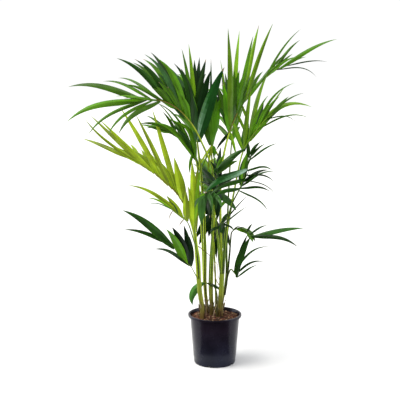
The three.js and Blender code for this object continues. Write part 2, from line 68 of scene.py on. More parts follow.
def make_camera():
    data = bpy.data.cameras.new("camera")
    data.lens = CAMERA["lens"]
    data.sensor_width = 36.0
    data.clip_end = 50.0
    camera = placed("camera", data)
    camera.location = CAMERA["eye"]
    camera.rotation_euler = (math.radians(90 - CAMERA["pitch_down"]), 0, 0)
    bpy.context.scene.camera = camera


# ---- the plant's sizes

# The pot's outer radii, heights and thicknesses. Its lip hangs down outside the body, is lip_top thick on
# top, and is rounded by curl outside and by roll inside.
POT = {
    "height": 195, "rim": 105, "body_top": 97, "step": 84, "base": 81, "step_height": 27, "wall": 2.5,
    "floor": 3, "hollow": 8, "lip_depth": 9, "lip_top": 3.2, "curl": 2, "roll": 2.5, "sides": 144,
}
# The drainage notches in its foot. The first one's angle is in degrees from the front.
NOTCHES = {"count": 5, "width": 14, "height": 7, "first": -18}

SOIL_LEVEL = 181
SOIL_GAP = 0.3  # between the potting mix and the pot's wall
SOIL_SIDES = 72
# The chips of bark on the potting mix, whose sizes and materials are drawn at random.
CHIPS = {"count": 1900, "sizes": [2.0, 2.7, 3.4, 4.2, 5.4], "looks": [0, 0, 0, 1, 1, 2, 2, 2, 3]}

# The sheathed stems, from the foot on the soil to the top where the leaf stalks part.
STEMS = {
    "front_left": {"foot": (-49, -28), "top": (-63, -28, 335), "radii": (7.6, 9.4)},
    "back_left": {"foot": (-31, 43), "top": (-40, 42, 315), "radii": (5, 6.4)},
    "centre": {"foot": (-12, 20), "top": (-15, 20, 300), "radii": (6.4, 7.8)},
    "right": {"foot": (21, 2), "top": (27, 0, 350), "radii": (8, 10)},
    "back_right": {"foot": (28, 38), "top": (49, 32, 340), "radii": (4.2, 6)},
}

# The sheaths of each stem from the inside out: the share of the stem where they end, how much wider than
# the stem they are, how far their rim slants and how far it is torn.
SHEATHS = [
    {"end": 0.96, "swell": 0, "slant": 11, "tear": 0, "look": "sheath_green"},
    {"end": 0.62, "swell": 0.6, "slant": 14, "tear": 1, "look": "sheath_green"},
    {"end": 0.34, "swell": 1, "slant": 10, "tear": 2, "look": "sheath_olive"},
    {"end": 0.13, "swell": 1.5, "slant": 5, "tear": 4, "look": "sheath_brown"},
]
SHEATH_GRID = {"corners": 36, "rings": 16}
STEM_OVERRUN = 0.06  # how far a stem's axis runs on past its top, as a share of its length
STEM_FLARE = 1.2  # how much wider a stem is at the soil
STEM_POINTS = 32

SCALES_EACH = 7  # papery scales round the foot of each stem
STUBS_EACH = 2  # stubs of old stalks beside it
DRY_RINGS, DRY_CORNERS = 32, 6
# Dead stalks and fibres: their points, radius and look. Each starts in a stem or in the soil.
DRY_PIECES = [
    ([(-8, -20, 180), (-2, -20, 208), (7, -18, 236)], 1.7, "straw"),
    ([(-33, 14, 180), (-34, 12, 215), (-34, 10, 247)], 1.5, "straw"),
    ([(-40, 41, 300), (-43, 37, 380), (-43, 35, 452)], 1.0, "straw"),
    ([(-66, -30, 470), (-42, -14, 448), (-14, 12, 418)], 1.9, "bark"),
    ([(22, 0, 300), (6, -6, 330), (-3, -8, 372), (1, -8, 402), (9, -7, 394), (12, -4, 350), (24, 0, 312)],
     1.7, "straw"),
]


def row(span, rise, reach, width, toward, facing, bow, fan=0, tint=None, fill=0):
    """Leaflets evenly spaced over a span of the rib. rise is their direction in the front view (0 right,
    90 up, 180 left), reach their length in it, toward the lean to the front in degrees, fan how far
    neighbours part, facing the way the upper face looks (0 up, 90 front), bow the arch by length, and
    fill how many shorter leaflets stand between two of them. A number or word holds for all of them, a
    pair goes from the first to the last, and a list or line of words has one for each."""
    return {"span": span, "rise": rise, "reach": reach, "width": width, "toward": toward,
            "facing": facing, "bow": bow, "fan": fan, "tint": tint, "fill": fill}


def cover(angles, reach, width, spacing, sides=(1, -1), start=0, tint=None):
    """Leaflets that lie close along the rib: from its foot to its tip their angles to it and their reach,
    the sides of it that they stand on (1 is the upper side on a frond that goes left and the lower side
    on one that goes right), and the share of the rib where they start."""
    return {"angles": angles, "reach": reach, "width": width, "spacing": spacing, "sides": sides,
            "start": start, "tint": tint}


def blade_along(rib, *rows, cover=None, name=None):
    """The leaflets along a rib, which is given by its points from the end of the stalk or of the blade
    before it. A blade has a name where its frond has several."""
    return {"name": name, "rib": rib, "rows": rows, "cover": cover}


def frond_on(name, stem, seat, tint, radius, kind, stalk, *blades, rib_kind="dull"):
    """A frond stands on a stem at a seat beside its axis and rises through the points of its stalk to the
    foot of its rib. A frond with no stem rises from the soil. The radius is the stalk's at its foot, kind
    and rib_kind say which of STALK_LOOKS the stalk and the ribs have, and the tint is for leaflets whose
    row names none."""
    return {"name": name, "stem": stem, "seat": seat, "tint": tint, "radius": radius, "kind": kind,
            "stalk": stalk, "blades": blades, "rib_kind": rib_kind}


FRONDS = [
    frond_on(
        "arching_left", "centre", (-4.8, 3), "mid", 7.4, "bright",
        [(-16, 14, 410), (-7, 6, 530), (1, -3, 650), (-2, -9, 740)],
        blade_along(
            [(-60, -18, 885), (-89, -35, 937), (-133, -60, 988), (-176, -85, 1017)],
            row((0.35, 0.95), [106, 111, 116, 119, 122, 126, 130, 134, 139],
                [232, 215, 240, 266, 245, 232, 228, 222, 250], [27, 27, 28, 25, 24, 26, 22, 22, 23],
                (-6, -2), 60, [0.12, 0.1, 0.1, 0.07, 0.1, 0.1, 0.07, 0.08, 0.08], fan=16,
                tint="dark sheen mid dark sheen mid dark mid dark"),
            row((0.3, 0.8), [104, 112, 122, 130], [150, 165, 170, 150], 24, (-4, -8), 60, 0.08,
                tint="dark mid sheen mid"),
            row((0.35, 0.9), [104, 112, 124], 150, 24, (-10, -40), 30, 0.06, tint="dark", fill=1),
            row((0.12, 0.75), [129, 141, 153], [84, 84, 76], 19, (20, 24), 60, 0.03, tint="mid dark mid"),
            cover=cover((22, 12), (130, 110), 22, 22, sides=(1,), start=0.3),
            name="inner",
        ),
        blade_along(
            [(-176, -85, 1017), (-224, -115, 1030), (-273, -145, 1031)],
            row((0.3, 0.9), [154, 161, 171], [190, 200, 283], [14, 14, 28], (-36, -10), 50, 0.08),
            row((0.3, 1), [220, 219, 212, 197], [180, 200, 238, 268], [24, 14, 16, 28], (44, 16), 60, 0.09),
            cover=cover((8, 5), (170, 120), 15, 26),
            name="outer",
        ),
        rib_kind="arching",
    ),
    frond_on(
        "back_centre", "back_left", (0, -4.8), "dark", 6.8, "bright",
        [(-40, 36, 480), (-44, 34, 620), (-56, 34, 760)],
        blade_along(
            [(-68, 42, 862), (-76, 80, 930), (-84, 140, 992), (-86, 220, 1030)],
            row((0, 0.4), [112, 107, 103, 100, 95, 91, 86, 80], [292, 262, 268, 332, 336, 262, 262, 248],
                [32, 34, 32, 20, 20, 32, 28, 30], (-5, -14), 66,
                [0.12, 0.08, 0.05, 0.02, 0.02, 0.03, 0.03, 0.03],
                tint="sheen mid dark mid fresh dark deep deep"),
            row((0, 0.2), [70, 78, 83], [304, 262, 250], [46, 40, 34], (8, -6), 70, 0.03,
                tint="glossy deep dark"),
            row((0.5, 1), [116, 104, 90, 76, 62], [120, 140, 150, 140, 120], 24, (-40, -62), 40, 0.06,
                tint="dark", fill=1),
            cover=cover((12, 8), (200, 150), 24, 34, tint="deep"),
        ),
    ),
    frond_on(
        "centre_green", "centre", (4.8, 3), "vivid", 5.6, "bright",
        [(-9, 26, 420), (-6, 34, 560), (-8, 46, 720)],
        blade_along(
            [(-14, 58, 850), (-12, 62, 872), (-10, 68, 895)],
            row((0, 0.6), [101, 90, 78], [165, 190, 160], 42, (6, 2), 84, 0.03, fill=1),
            row((0.5, 0.6), [91], 316, 12, -6, 70, 0.01, tint="sheen"),
            row(0, [290], 44, 22, 4, 84, 0.02),
            row((0, 0.1), [239, 249, 263, 280, 299], [110, 122, 114, 124, 92], [8, 7, 8, 6, 8], (16, -8),
                70, 0.02, tint="lime fresh lime mid lime"),
        ),
    ),
    frond_on(
        "upright_right", "right", (0, 7), "mid", 7.6, "bright",
        [(24, 10, 470), (20, 12, 640), (25, 16, 770)],
        blade_along(
            [(54, 28, 902), (74, 45, 954), (101, 66, 1004), (138, 90, 1053)],
            row((0.08, 0.84), [92, 86, 79, 76, 72], [368, 355, 295, 332, 295], [22, 20, 18, 20, 17], (4, 0),
                75, 0.02, fan=22, tint="fresh fresh mid fresh fresh"),
            row((0.02, 0.5), [99, 94, 89, 85, 80], [190, 205, 196, 180, 150], 28, (5, 0), 78, 0.03,
                tint="vivid vivid mid vivid vivid"),
            row(0.02, [97], 281, 9, -14, 70, 0.02, tint="fresh"),
            row((0.04, 0.16), [108, 116, 124], [180, 150, 130], 24, -22, 60, 0.03, tint="dark"),
            row((0.02, 0.2), [104, 99, 97], [180, 215, 200], [28, 26, 22], (-20, -30), 60, 0.02,
                tint="mid sheen dark"),
            row((0.04, 0.7), [-76, -68, -68, -72], [100, 105, 105, 90], 12, 12, 60, 0.02, tint="fresh"),
            row((0.01, 0.05), [236, 239], [90, 72], [15, 8], (-20, -28), 50, 0.04, tint="deep mid"),
            cover=cover((9, 5), (170, 140), 17, 24, sides=(-1, 1)),
            name="inner",
        ),
        blade_along(
            [(138, 90, 1053), (188, 116, 1104), (242, 142, 1143), (280, 165, 1159)],
            row((0.36, 1), [55, 48, 27, 6], [228, 176, 235, 185], [9, 13, 21, 7], 0, 60, 0.05, fan=24,
                tint="mid mid mid dark"),
            row(0.68, [-12], 155, 7, 20, 50, 0.15, tint="dark"),
            cover=cover((5, 3), (160, 120), 12, 30),
            name="outer",
        ),
        rib_kind="rusty",
    ),
    frond_on(
        "right_mid", "right", (6.8, 2.2), "mid", 6.4, "bright",
        [(38, -4, 440), (52, -12, 560), (74, -18, 690)],
        blade_along(
            [(104, -26, 832), (127, -44, 876), (151, -66, 914), (179, -92, 952), (208, -120, 979)],
            row((0.04, 0.75), [85, 72, 53, 54, 36], [233, 272, 240, 188, 174], [18, 18, 10, 9, 8],
                (-4, -10), 60, [0.03, 0.07, 0.12, 0.03, 0.08], fan=24, tint="fresh fresh mid fresh mid"),
            row((0.25, 0.8), [30, 13, -6], [255, 192, 104], [24, 8, 7], (20, 36), 60, [0.2, 0.13, 0.15],
                tint="fresh mid dark"),
            row((0, 0.4), [80, 68], 125, 30, (-30, -40), 50, 0.05, tint="dark"),
            row((0, 0.03), [117, 113], [100, 112], [9, 10], -16, 60, 0.02, tint="mid fresh"),
            cover=cover((7, 5), (190, 120), 16, 34),
        ),
    ),
    frond_on(
        "right_low", "right", (4.2, -5.8), "dark", 4.8, "dull",
        [(34, -26, 450), (44, -54, 560), (62, -78, 640)],
        blade_along(
            [(84, -100, 690), (102, -130, 740), (113, -170, 794), (118, -215, 840)],
            row((0.04, 0.16), [-35, 26], [130, 132], [12, 18], (20, 25), 30, 0.1, fill=1),
            row((0.32, 0.55), [-24, 4], [125, 90], [6, 16], (30, 35), 30, 0.12, fill=1),
            row((0.8, 1), [32, 50], [122, 58], [9, 14], 10, 40, 0.06, fill=1),
            row((0.1, 0.6), [196, 209], [105, 178], [20, 30], (26, 22), 45, 0.08, tint="dark glossy",
                fill=1),
            row((0.16, 0.24), [82, 79], [112, 128], [26, 22], (-4, -8), 60, 0.03, tint="dark mid"),
            row(0.26, [25], 106, 16, 4, 50, 0.1, tint="deep"),
            cover=cover((14, 10), (110, 90), 14, 34),
        ),
    ),
    frond_on(
        "light_left", "front_left", (-4.4, 4.4), "lime", 7.2, "bright",
        [(-72, -22, 420), (-82, -16, 520)],
        blade_along(
            [(-118, -4, 626), (-152, 14, 674), (-194, 35, 710), (-239, 60, 745), (-287, 85, 774),
             (-334, 110, 798)],
            row((0.03, 1), [101, 108, 114, 122, 134, 140, 139, 161],
                [184, 340, 308, 330, 296, 312, 268, 222], [30, 22, 18, 21, 18, 18, 12, 20], (-4, -8), 62,
                [0.02, 0.01, 0.01, 0.01, 0, 0, -0.05, 0.02], fan=18),
            row((0.2, 0.8), [104, 116, 128], 90, 18, (-50, -56), 40, 0.05, tint="light", fill=1),
            cover=cover((20, 5), (120, 110), 24, 18, sides=(1,), tint="light"),
        ),
        rib_kind="rusty",
    ),
    frond_on(
        "left_mid", "back_left", (-4.4, 2.6), "mid", 5, "bright",
        [(-48, 48, 440), (-56, 54, 580), (-64, 60, 700)],
        blade_along(
            [(-74, 68, 790), (-98, 95, 846), (-138, 130, 880), (-179, 165, 897), (-216, 200, 906)],
            row((0.12, 1), [118, 129, 122, 148, 168], [110, 200, 112, 118, 94], [14, 8, 14, 14, 13],
                (-10, -20), 55, 0.05, fan=22),
            row((0, 0.06), [134, 140, 128], [188, 226, 160], [18, 16, 18], (8, 20), 60, [0.1, 0.12, 0.12],
                tint="mid mid dark"),
            row((0.02, 0.8), [121, 130, 150, 160, 172], [175, 150, 130, 120, 90], [22, 18, 17, 16, 12],
                (-4, 14), 55, [0.2, 0.14, 0.1, 0.1, 0.1]),
            row((0.1, 0.35), [127, 160], [254, 202], [10, 18], 0, 60, 0.12, tint="mid"),
            row((0.14, 0.2), [262, 284], [86, 105], 12, (8, 0), 60, 0.08, tint="mid"),
            cover=cover((6, 4), (130, 100), 20, 30),
        ),
    ),
    frond_on(
        "light_low", "front_left", (4.4, -4.4), "lime", 4, "dull",
        [(-66, -44, 430), (-86, -52, 510)],
        blade_along(
            [(-106, -58, 568), (-126, -76, 590), (-146, -98, 610), (-164, -120, 628)],
            row((0.2, 0.3), [148, 126], [248, 104], [16, 22], (8, 0), 78, [0.09, 0.02], tint="lime"),
            row((0.34, 0.9), [140, 156], [150, 110], [16, 8], (5, 0), 76, [0.05, 0.1], tint="lime fresh"),
            row((0.03, 0.1), [95, 90], [128, 118], 24, 6, 75, 0.03, fill=1),
            row((0.55, 0.95), [128, 168], [62, 95], 6, (4, 24), 40, 0.14, tint="sheen"),
            row((0.2, 0.9), [238, 250], [34, 40], [5, 4], 10, 40, 0.1, tint="dry"),
        ),
    ),
    frond_on(
        "dark_low_left", "front_left", (-4.4, -4.4), "dark", 2.8, "dull",
        [(-80, -38, 368)],
        blade_along(
            [(-93, -42, 392), (-111, -56, 412), (-141, -80, 460), (-168, -106, 494)],
            row(0, [92], 112, 28, -14, 65, 0.03, tint="deep"),
            row((0, 0.25), [100, 113, 117], [160, 166, 170], [28, 36, 34], (-10, 30), 65, 0.04,
                tint="deep deep mid"),
            row((0.8, 1), [140, 161], [246, 184], [34, 18], (20, 8), 55, [0.05, 0.06]),
            row(0.1, [148], 156, 16, 32, 50, 0.09),
        ),
    ),
    frond_on(
        "drooping_left", None, (7, -16), "cool", 3.6, "dark",
        [(9, -14, 240), (6, -6, 285), (-8, 2, 306)],
        blade_along(
            [(-31, 6, 316), (-46, 7, 317), (-62, 8, 312)],
            row((0.4, 1), [236, 254], [85, 90], [20, 30], (-10, 0), 70, 0.14),
            row(0.02, [-40], 78, 12, 0, 60, 0.16, tint="dark"),
        ),
    ),
    frond_on(
        "arching_low_right", "back_right", (0.5, -5), "mid", 5, "dark",
        [(58, 24, 430), (62, 20, 490)],
        blade_along(
            [(66, 18, 516), (80, 8, 530), (94, -4, 536), (115, -22, 531), (130, -38, 521), (139, -54, 512)],
            row((0.7, 1), [52, 22, 6], [34, 76, 208], [9, 9, 22], (-30, -14), 50, [0.08, 0.08, 0.03],
                tint="dark dark cool"),
            row((0.7, 1), [-62, -9], [40, 170], 18, (40, 26), 50, 0.1, tint="mid dark"),
            row((0.26, 0.46), [-32, -42], [82, 68], [20, 19], (22, 26), 50, [0.2, 0.14]),
            row((0.02, 0.14), [38, 12], [40, 44], 6, 34, 60, 0.12, tint="dark"),
        ),
        rib_kind="dark",
    ),
    frond_on(
        "dark_low_right", "back_right", (4.6, 2.6), "dark", 4.4, "dull",
        [(64, 28, 366)],
        blade_along(
            [(74, 18, 356), (80, 10, 349), (85, 2, 338)],
            row((0.35, 1), [69, 76], [165, 176], [28, 20], (12, -4), 70, 0.04, tint="dark"),
            row((0, 1), [38, 26, 34], [176, 125, 98], [9, 10, 8], 10, 50, [0.14, 0.14, 0.05]),
        ),
    ),
    frond_on(
        "bright_centre", "front_left", (4.4, 4.4), "lime", 7.4, "bright",
        [(-62, -30, 410), (-70, -40, 470)],
        blade_along(
            [(-76, -46, 525), (-78, -48, 548), (-80, -50, 572)],
            row((0, 1), [95, 87, 92], [225, 240, 235], [30, 28, 28], (6, 10), 75, 0.03),
            row((0.2, 0.7), [103, 99, 84], [120, 165, 230], [22, 26, 16], (0, 12), 75, 0.03,
                tint="light lime fresh"),
        ),
        rib_kind="bright",
    ),
    frond_on(
        "drooping_centre", "centre", (0, -5.4), "cool", 5, "bright",
        [(-12, 2, 400), (-12, -32, 520), (-8, -68, 620)],
        blade_along(
            [(-6, -98, 684), (-20, -126, 697), (-36, -152, 694), (-50, -174, 683)],
            row((0.15, 1), [279, 273, 264, 268], [72, 76, 70, 104], [20, 20, 22, 28], (-6, 12), 80, 0.06,
                tint="dark dark cool cool"),
            row((0.1, 0.8), [284, 272, 262], [130, 140, 130], 28, (-56, -62), 80, 0.05, tint="deep"),
            row((0.1, 0.9), [300, 282, 230], [60, 64, 50], 18, (50, 55), 30, 0.12),
            cover=cover((8, 6), (90, 70), 14, 34, tint="mid"),
        ),
    ),
    frond_on(
        "hanging_centre", "right", (-6.8, 2.2), "dark", 4.2, "dull",
        [(14, -6, 420), (14, -26, 500)],
        blade_along(
            [(22, -48, 550), (26, -68, 568), (24, -92, 571), (17, -112, 562)],
            row((0.1, 0.8), [288, 272, 256], [120, 150, 130], [20, 22, 20], (-44, -52), 80, 0.06,
                tint="deep dark deep"),
            row((0.3, 0.9), [330, 215], 50, 16, (40, 30), 30, 0.12, fill=1),
            row((0.02, 0.08), [35, 47], [126, 152], 6, -14, 50, 0.02),
            cover=cover((8, 6), (90, 70), 14, 34),
        ),
    ),
    frond_on(
        "dark_front", "right", (-4.2, -5.8), "deep", 4.8, "bright",
        [(16, -30, 450), (4, -52, 560)],
        blade_along(
            [(12, -60, 678), (8, -104, 724), (2, -160, 758), (-4, -218, 778)],
            row((0.1, 0.95), [130, 82, 36], [96, 112, 139], [30, 18, 26], (-36, -12), 55, 0.05,
                tint="deep deep dark"),
            row(0.86, [28], 92, 20, -6, 55, 0.05, tint="mid"),
            row((0.1, 1), [146, 112, 66, 36], [70, 80, 84, 84], [18, 16, 14, 18], (-20, 24), 50, 0.1,
                tint="dark deep mid dark"),
            row((0.05, 0.3), [160, 20, 100], [80, 90, 84], 16, (-40, -30), 50, 0.1),
            row((0.02, 0.1), [-46, 268], [98, 118], 28, (-4, 0), 70, 0.05, tint="cool deep"),
            cover=cover((10, 8), (100, 80), 16, 40),
        ),
    ),
    frond_on(
        "back_left", "back_left", (4.4, 2.6), "mid", 5.6, "dull",
        [(-36, 70, 430), (-46, 112, 600), (-60, 148, 760)],
        blade_along(
            [(-72, 182, 880), (-84, 238, 960), (-94, 308, 1012), (-100, 388, 1034)],
            row((0.02, 1), [146, 138, 130, 120, 108], [140, 154, 150, 130, 70], 22, (-44, -64), 20, 0.12,
                fill=1),
            row((0.02, 1), [34, 42, 52, 66, 80], [126, 136, 134, 116, 64], 22, (-44, -64), 20, 0.12,
                fill=1),
            cover=cover((14, 10), (150, 110), 18, 44),
        ),
    ),
    frond_on(
        "back_right", "back_right", (-4.2, 3.4), "mid", 5, "dull",
        [(48, 74, 440), (54, 116, 600), (62, 150, 750)],
        blade_along(
            [(70, 184, 860), (82, 246, 946), (92, 322, 998), (98, 404, 1018)],
            row((0.02, 1), [148, 140, 130, 118, 104], [112, 124, 122, 104, 72], 22, (-46, -66), 20, 0.12,
                fill=1),
            row((0.02, 1), [44, 48, 56, 68, 82], [62, 70, 74, 70, 54], 22, (-64, -72), 20, 0.12, fill=1),
            cover=cover((14, 10), (150, 110), 18, 44),
        ),
    ),
    frond_on(
        "back_low", None, (6, 52), "fresh", 5, "bright",
        [(4, 74, 300), (-2, 110, 440)],
        blade_along(
            [(-8, 156, 560), (-14, 226, 640), (-18, 312, 688), (-20, 400, 700)],
            row((0, 0.04), [290, 282, 275, 262, 248, 238], [173, 186, 176, 96, 142, 130],
                [26, 28, 28, 26, 30, 28], (22, 2), 80, 0.02, tint="deep dark deep deep deep deep"),
            row((0, 0.06), [150, 128, 104, 84, 62], [84, 80, 96, 96, 84], 28, (0, -6), 80, 0.02,
                tint="deep"),
            row((0.02, 1), [154, 146, 138, 128, 112], [96, 108, 108, 92, 62], 20, (-46, -66), 12, 0.12,
                tint="dark mid dark mid fresh", fill=1),
            row((0.02, 1), [24, 30, 38, 50, 68], [104, 116, 116, 96, 62], 20, (-46, -66), 12, 0.12,
                tint="mid dark dark mid fresh", fill=1),
            cover=cover((14, 10), (130, 100), 16, 44),
        ),
    ),
]

# ---- colours

# Leaf tints as the lit upper face shows them, from 0 to 255. Some hold painted light: sheen is a painted
# sheen, a grey blue-green for light glancing off the leaf, and cool a green with some of that painted sheen
# in it; the darkness of deep and dark is partly painted shade for leaflets in the shade of the crown, and
# the brightness of light and lime partly painted light for leaflets lit through from behind.
TINTS = {
    "deep": (12, 42, 8),
    "dark": (30, 68, 8),
    "mid": (71, 117, 9),
    "fresh": (101, 143, 13),
    "light": (126, 152, 18),
    "lime": (141, 165, 27),
    "vivid": (74, 130, 4),
    "cool": (54, 98, 36),
    "sheen": (48, 86, 42),
    "dry": (132, 118, 90),
    "bark": (88, 64, 46),
}
# A painted sheen: one half of a leaflet with the painted sheen goes in steps from a pale blue-green at its
# foot, a painted reflection, to a bottle green, over a length in stations. Its other half is bottle green.
GLOSS = {"foot": (146, 176, 158), "plain": (18, 70, 16), "steps": 8, "length": 10}
# Painted light and shade on leaflets: the shade tone paints a half darker, as painted shade, and the shine
# tone paints it lighter, as a painted highlight.
TONES = {"shade": 0.6, "plain": 1.0, "shine": 1.4}  # how light a leaflet's half is, by its linear colour
# The colours of stalks and sheaths low down and high up, and for some the heights in metres between
# which they change.
STALK_COLOURS = {
    "lime": ((154, 152, 58), (172, 196, 46)),
    "green": ((116, 118, 44), (120, 156, 30)),
    "olive": ((76, 72, 28), (70, 96, 18)),
    "dusk": ((46, 38, 24), (34, 50, 14)),
    "rust": ((120, 96, 44), (116, 100, 30)),
    "lime_to_rust": ((160, 180, 46), (104, 90, 34), 0.92, 1.0),
    "sheath_green": ((128, 112, 50), (128, 146, 34), 0.19, 0.31),
    "sheath_olive": ((112, 94, 46), (110, 118, 36), 0.19, 0.27),
    "sheath_brown": ((108, 86, 48), (124, 110, 52), 0.18, 0.24),
    "straw": ((160, 138, 116), (164, 152, 112)),
    "bark": ((74, 52, 40), (84, 62, 42)),
}
UNDERSIDE = {"mix": 0.22, "with": (100, 136, 60)}
LIGHT_GAIN = 1.06  # how much brighter than its base colour a lit face shows


def linear(colour, gain=1.0):
    """A base colour from the 0 to 255 values that the eye sees."""
    shares = [value / 255 for value in colour]
    line = [c / 12.92 if c <= 0.04045 else ((c + 0.055) / 1.055) ** 2.4 for c in shares]
    return (*(value / gain for value in line), 1.0)


def mixed(a, b, share):
    return tuple(x * (1 - share) + y * share for x, y in zip(a, b))


def scaled(colour, factor):
    """A linear colour made darker or lighter."""
    return (*(min(1, value * factor) for value in colour[:3]), 1)


def grey(value):
    return (value, value, value, 1)


# ---- materials


class Nodes:
    """A material with a Principled shader, and short ways to wire what feeds it."""

    def __init__(self, name, roughness, specular):
        self.material = bpy.data.materials.new(name)
        self.material.use_nodes = True
        self.tree = self.material.node_tree
        self.shader = self.tree.nodes["Principled BSDF"]
        self.shader.inputs["Roughness"].default_value = roughness
        self.shader.inputs["Specular IOR Level"].default_value = specular

    def add(self, kind, **inputs):
        node = self.tree.nodes.new(kind)
        for key, value in inputs.items():
            socket = node.inputs[key.replace("_", " ")]
            if hasattr(value, "links"):
                self.tree.links.new(value, socket)
            else:
                socket.default_value = value
        return node

    def noise(self, vector, scale, detail=3.0, roughness=0.55):
        return self.add("ShaderNodeTexNoise", Vector=vector, Scale=scale, Detail=detail,
                        Roughness=roughness).outputs["Fac"]

    def stretch(self, vector, scale):
        mapping = self.add("ShaderNodeMapping", Vector=vector)
        mapping.inputs["Scale"].default_value = scale
        return mapping.outputs["Vector"]

    def ramp(self, factor, stops):
        node = self.add("ShaderNodeValToRGB", Fac=factor)
        elements = node.color_ramp.elements
        while len(elements) < len(stops):
            elements.new(0.5)
        for element, (place, colour) in zip(elements, stops):
            element.position = place
            element.color = colour
        return node.outputs["Color"]

    def mix(self, factor, a, b, blend="MIX"):
        node = self.tree.nodes.new("ShaderNodeMix")
        node.data_type = "RGBA"
        node.blend_type = blend
        for socket, value in ((node.inputs[0], factor), (node.inputs[6], a), (node.inputs[7], b)):
            if hasattr(value, "links"):
                self.tree.links.new(value, socket)
            else:
                socket.default_value = value
        return node.outputs[2]

    def bump(self, height, strength, distance):
        node = self.add("ShaderNodeBump", Height=height, Strength=strength, Distance=distance)
        return node.outputs["Normal"]

    def link(self, socket, value):
        self.tree.links.new(value, self.shader.inputs[socket])

    def object_place(self):
        return self.tree.nodes.new("ShaderNodeTexCoord").outputs["Object"]

    def height_share(self, place, low, high):
        """Nought at the low height and below it, one at the high height and above it."""
        height = self.add("ShaderNodeSeparateXYZ", Vector=place).outputs["Z"]
        share = self.add("ShaderNodeMapRange", Value=height, From_Min=low, From_Max=high)
        return share.outputs["Result"]

    def leaf_place(self):
        node = self.tree.nodes.new("ShaderNodeUVMap")
        node.uv_map = "leaf"
        return node.outputs["UV"]


def leaf_material(name, base, roughness, specular):
    """Leaf skin: slow patches of lighter and darker green, veins along the leaflet and their relief."""
    nodes = Nodes(name, roughness, specular)
    place, along = nodes.object_place(), nodes.leaf_place()
    patch_colour = nodes.ramp(nodes.noise(place, 16.0), [
        (0.32, scaled(base, 0.74)),
        (0.52, base),
        (0.72, scaled(base, 1.24)),
    ])
    veins = nodes.noise(nodes.stretch(along, (26, 0.7, 1)), 1.0, detail=2.0)
    vein_colour = nodes.ramp(veins, [(0.35, (0.72, 0.74, 0.66, 1)), (0.6, (1.1, 1.1, 1.05, 1))])
    nodes.link("Base Color", nodes.mix(0.7, patch_colour, vein_colour, "MULTIPLY"))
    nodes.link("Normal", nodes.bump(veins, 0.3, 0.0006))
    return nodes.material


def leaf_materials():
    """The upper and the under skin of each tint and each step of the painted sheen, in each tone: plain, in
    painted shade and with a painted highlight.
    """
    found = {}
    last = GLOSS["steps"] - 1
    gloss = {f"gloss_{k}": mixed(GLOSS["foot"], GLOSS["plain"], k / last) for k in range(last + 1)}
    for tint, colour in {**TINTS, **gloss}.items():
        under = mixed(colour, UNDERSIDE["with"], UNDERSIDE["mix"])
        for tone, factor in TONES.items():
            top = scaled(linear(colour, LIGHT_GAIN), factor)
            found[tint, tone, "top"] = leaf_material(f"leaf_{tint}_{tone}", top, 0.38, 0.15)
            below = scaled(linear(under, LIGHT_GAIN), factor)
            found[tint, tone, "under"] = leaf_material(f"leaf_{tint}_{tone}_under", below, 0.6, 0.05)
    return found


def stalk_material(name, low, high, low_z=0.2, high_z=0.42):
    """A stalk that goes from one colour near the soil to another higher up, streaked and freckled brown."""
    nodes = Nodes(name, 0.45, 0.2)
    place = nodes.object_place()
    share = nodes.height_share(place, low_z, high_z)
    colour = nodes.mix(share, linear(low, LIGHT_GAIN), linear(high, LIGHT_GAIN))
    streaks = nodes.noise(nodes.stretch(place, (210, 210, 8)), 1.0, detail=4.0)
    tone = nodes.ramp(streaks, [(0.36, (0.58, 0.6, 0.44, 1)), (0.62, (1.12, 1.1, 1.0, 1))])
    freckles = nodes.noise(nodes.stretch(place, (1, 1, 0.4)), 380.0, detail=2.0)
    spots = nodes.ramp(freckles, [(0.6, (1, 1, 1, 1)), (0.68, (0.5, 0.36, 0.26, 1))])
    streaked = nodes.mix(0.8, colour, tone, "MULTIPLY")
    nodes.link("Base Color", nodes.mix(0.5, streaked, spots, "MULTIPLY"))
    nodes.link("Normal", nodes.bump(streaks, 0.4, 0.0009))
    return nodes.material


def plastic_material():
    """Black moulded plastic: violet black above and blue black below, the blue below a painted reflection,
    with fine grain and a little dust.
    """
    nodes = Nodes("pot_plastic", 0.3, 0.2)
    nodes.shader.inputs["Specular Tint"].default_value = (0.78, 0.84, 1, 1)
    place = nodes.object_place()
    # Painted reflection: the colour turns from violet black to blue black towards the foot.
    share = nodes.height_share(place, 0.02, 0.15)
    colour = nodes.mix(share, linear((22, 24, 36)), linear((22, 16, 24)))
    dust = nodes.noise(place, 14.0, detail=6.0)
    tone = nodes.ramp(dust, [(0.35, grey(0.7)), (0.75, (1.5, 1.5, 1.6, 1))])
    nodes.link("Base Color", nodes.mix(1.0, colour, tone, "MULTIPLY"))
    polish = nodes.noise(place, 30.0, detail=5.0)
    nodes.link("Roughness", nodes.ramp(polish, [(0.3, grey(0.18)), (0.7, grey(0.3))]))
    nodes.link("Normal", nodes.bump(nodes.noise(place, 420.0), 0.1, 0.0005))
    return nodes.material


def crumb_material(name, dark, light):
    """Bark and coir: fibrous, rough, with dark and light patches."""
    nodes = Nodes(name, 0.95, 0.2)
    place = nodes.object_place()
    grain = nodes.noise(nodes.stretch(place, (1, 1.7, 2.4)), 260.0, detail=6.0, roughness=0.7)
    nodes.link("Base Color", nodes.ramp(grain, [(0.32, linear(dark)), (0.68, linear(light))]))
    nodes.link("Normal", nodes.bump(grain, 0.7, 0.0012))
    return nodes.material


def grey_material(name, roughness, specular, scale, dark, light):
    """A matt grey with faint clouds, for the floor and the card."""
    nodes = Nodes(name, roughness, specular)
    clouds = nodes.noise(nodes.object_place(), scale)
    nodes.link("Base Color", nodes.ramp(clouds, [(0, grey(dark)), (1, grey(light))]))
    return nodes.material


# ---- mesh helpers


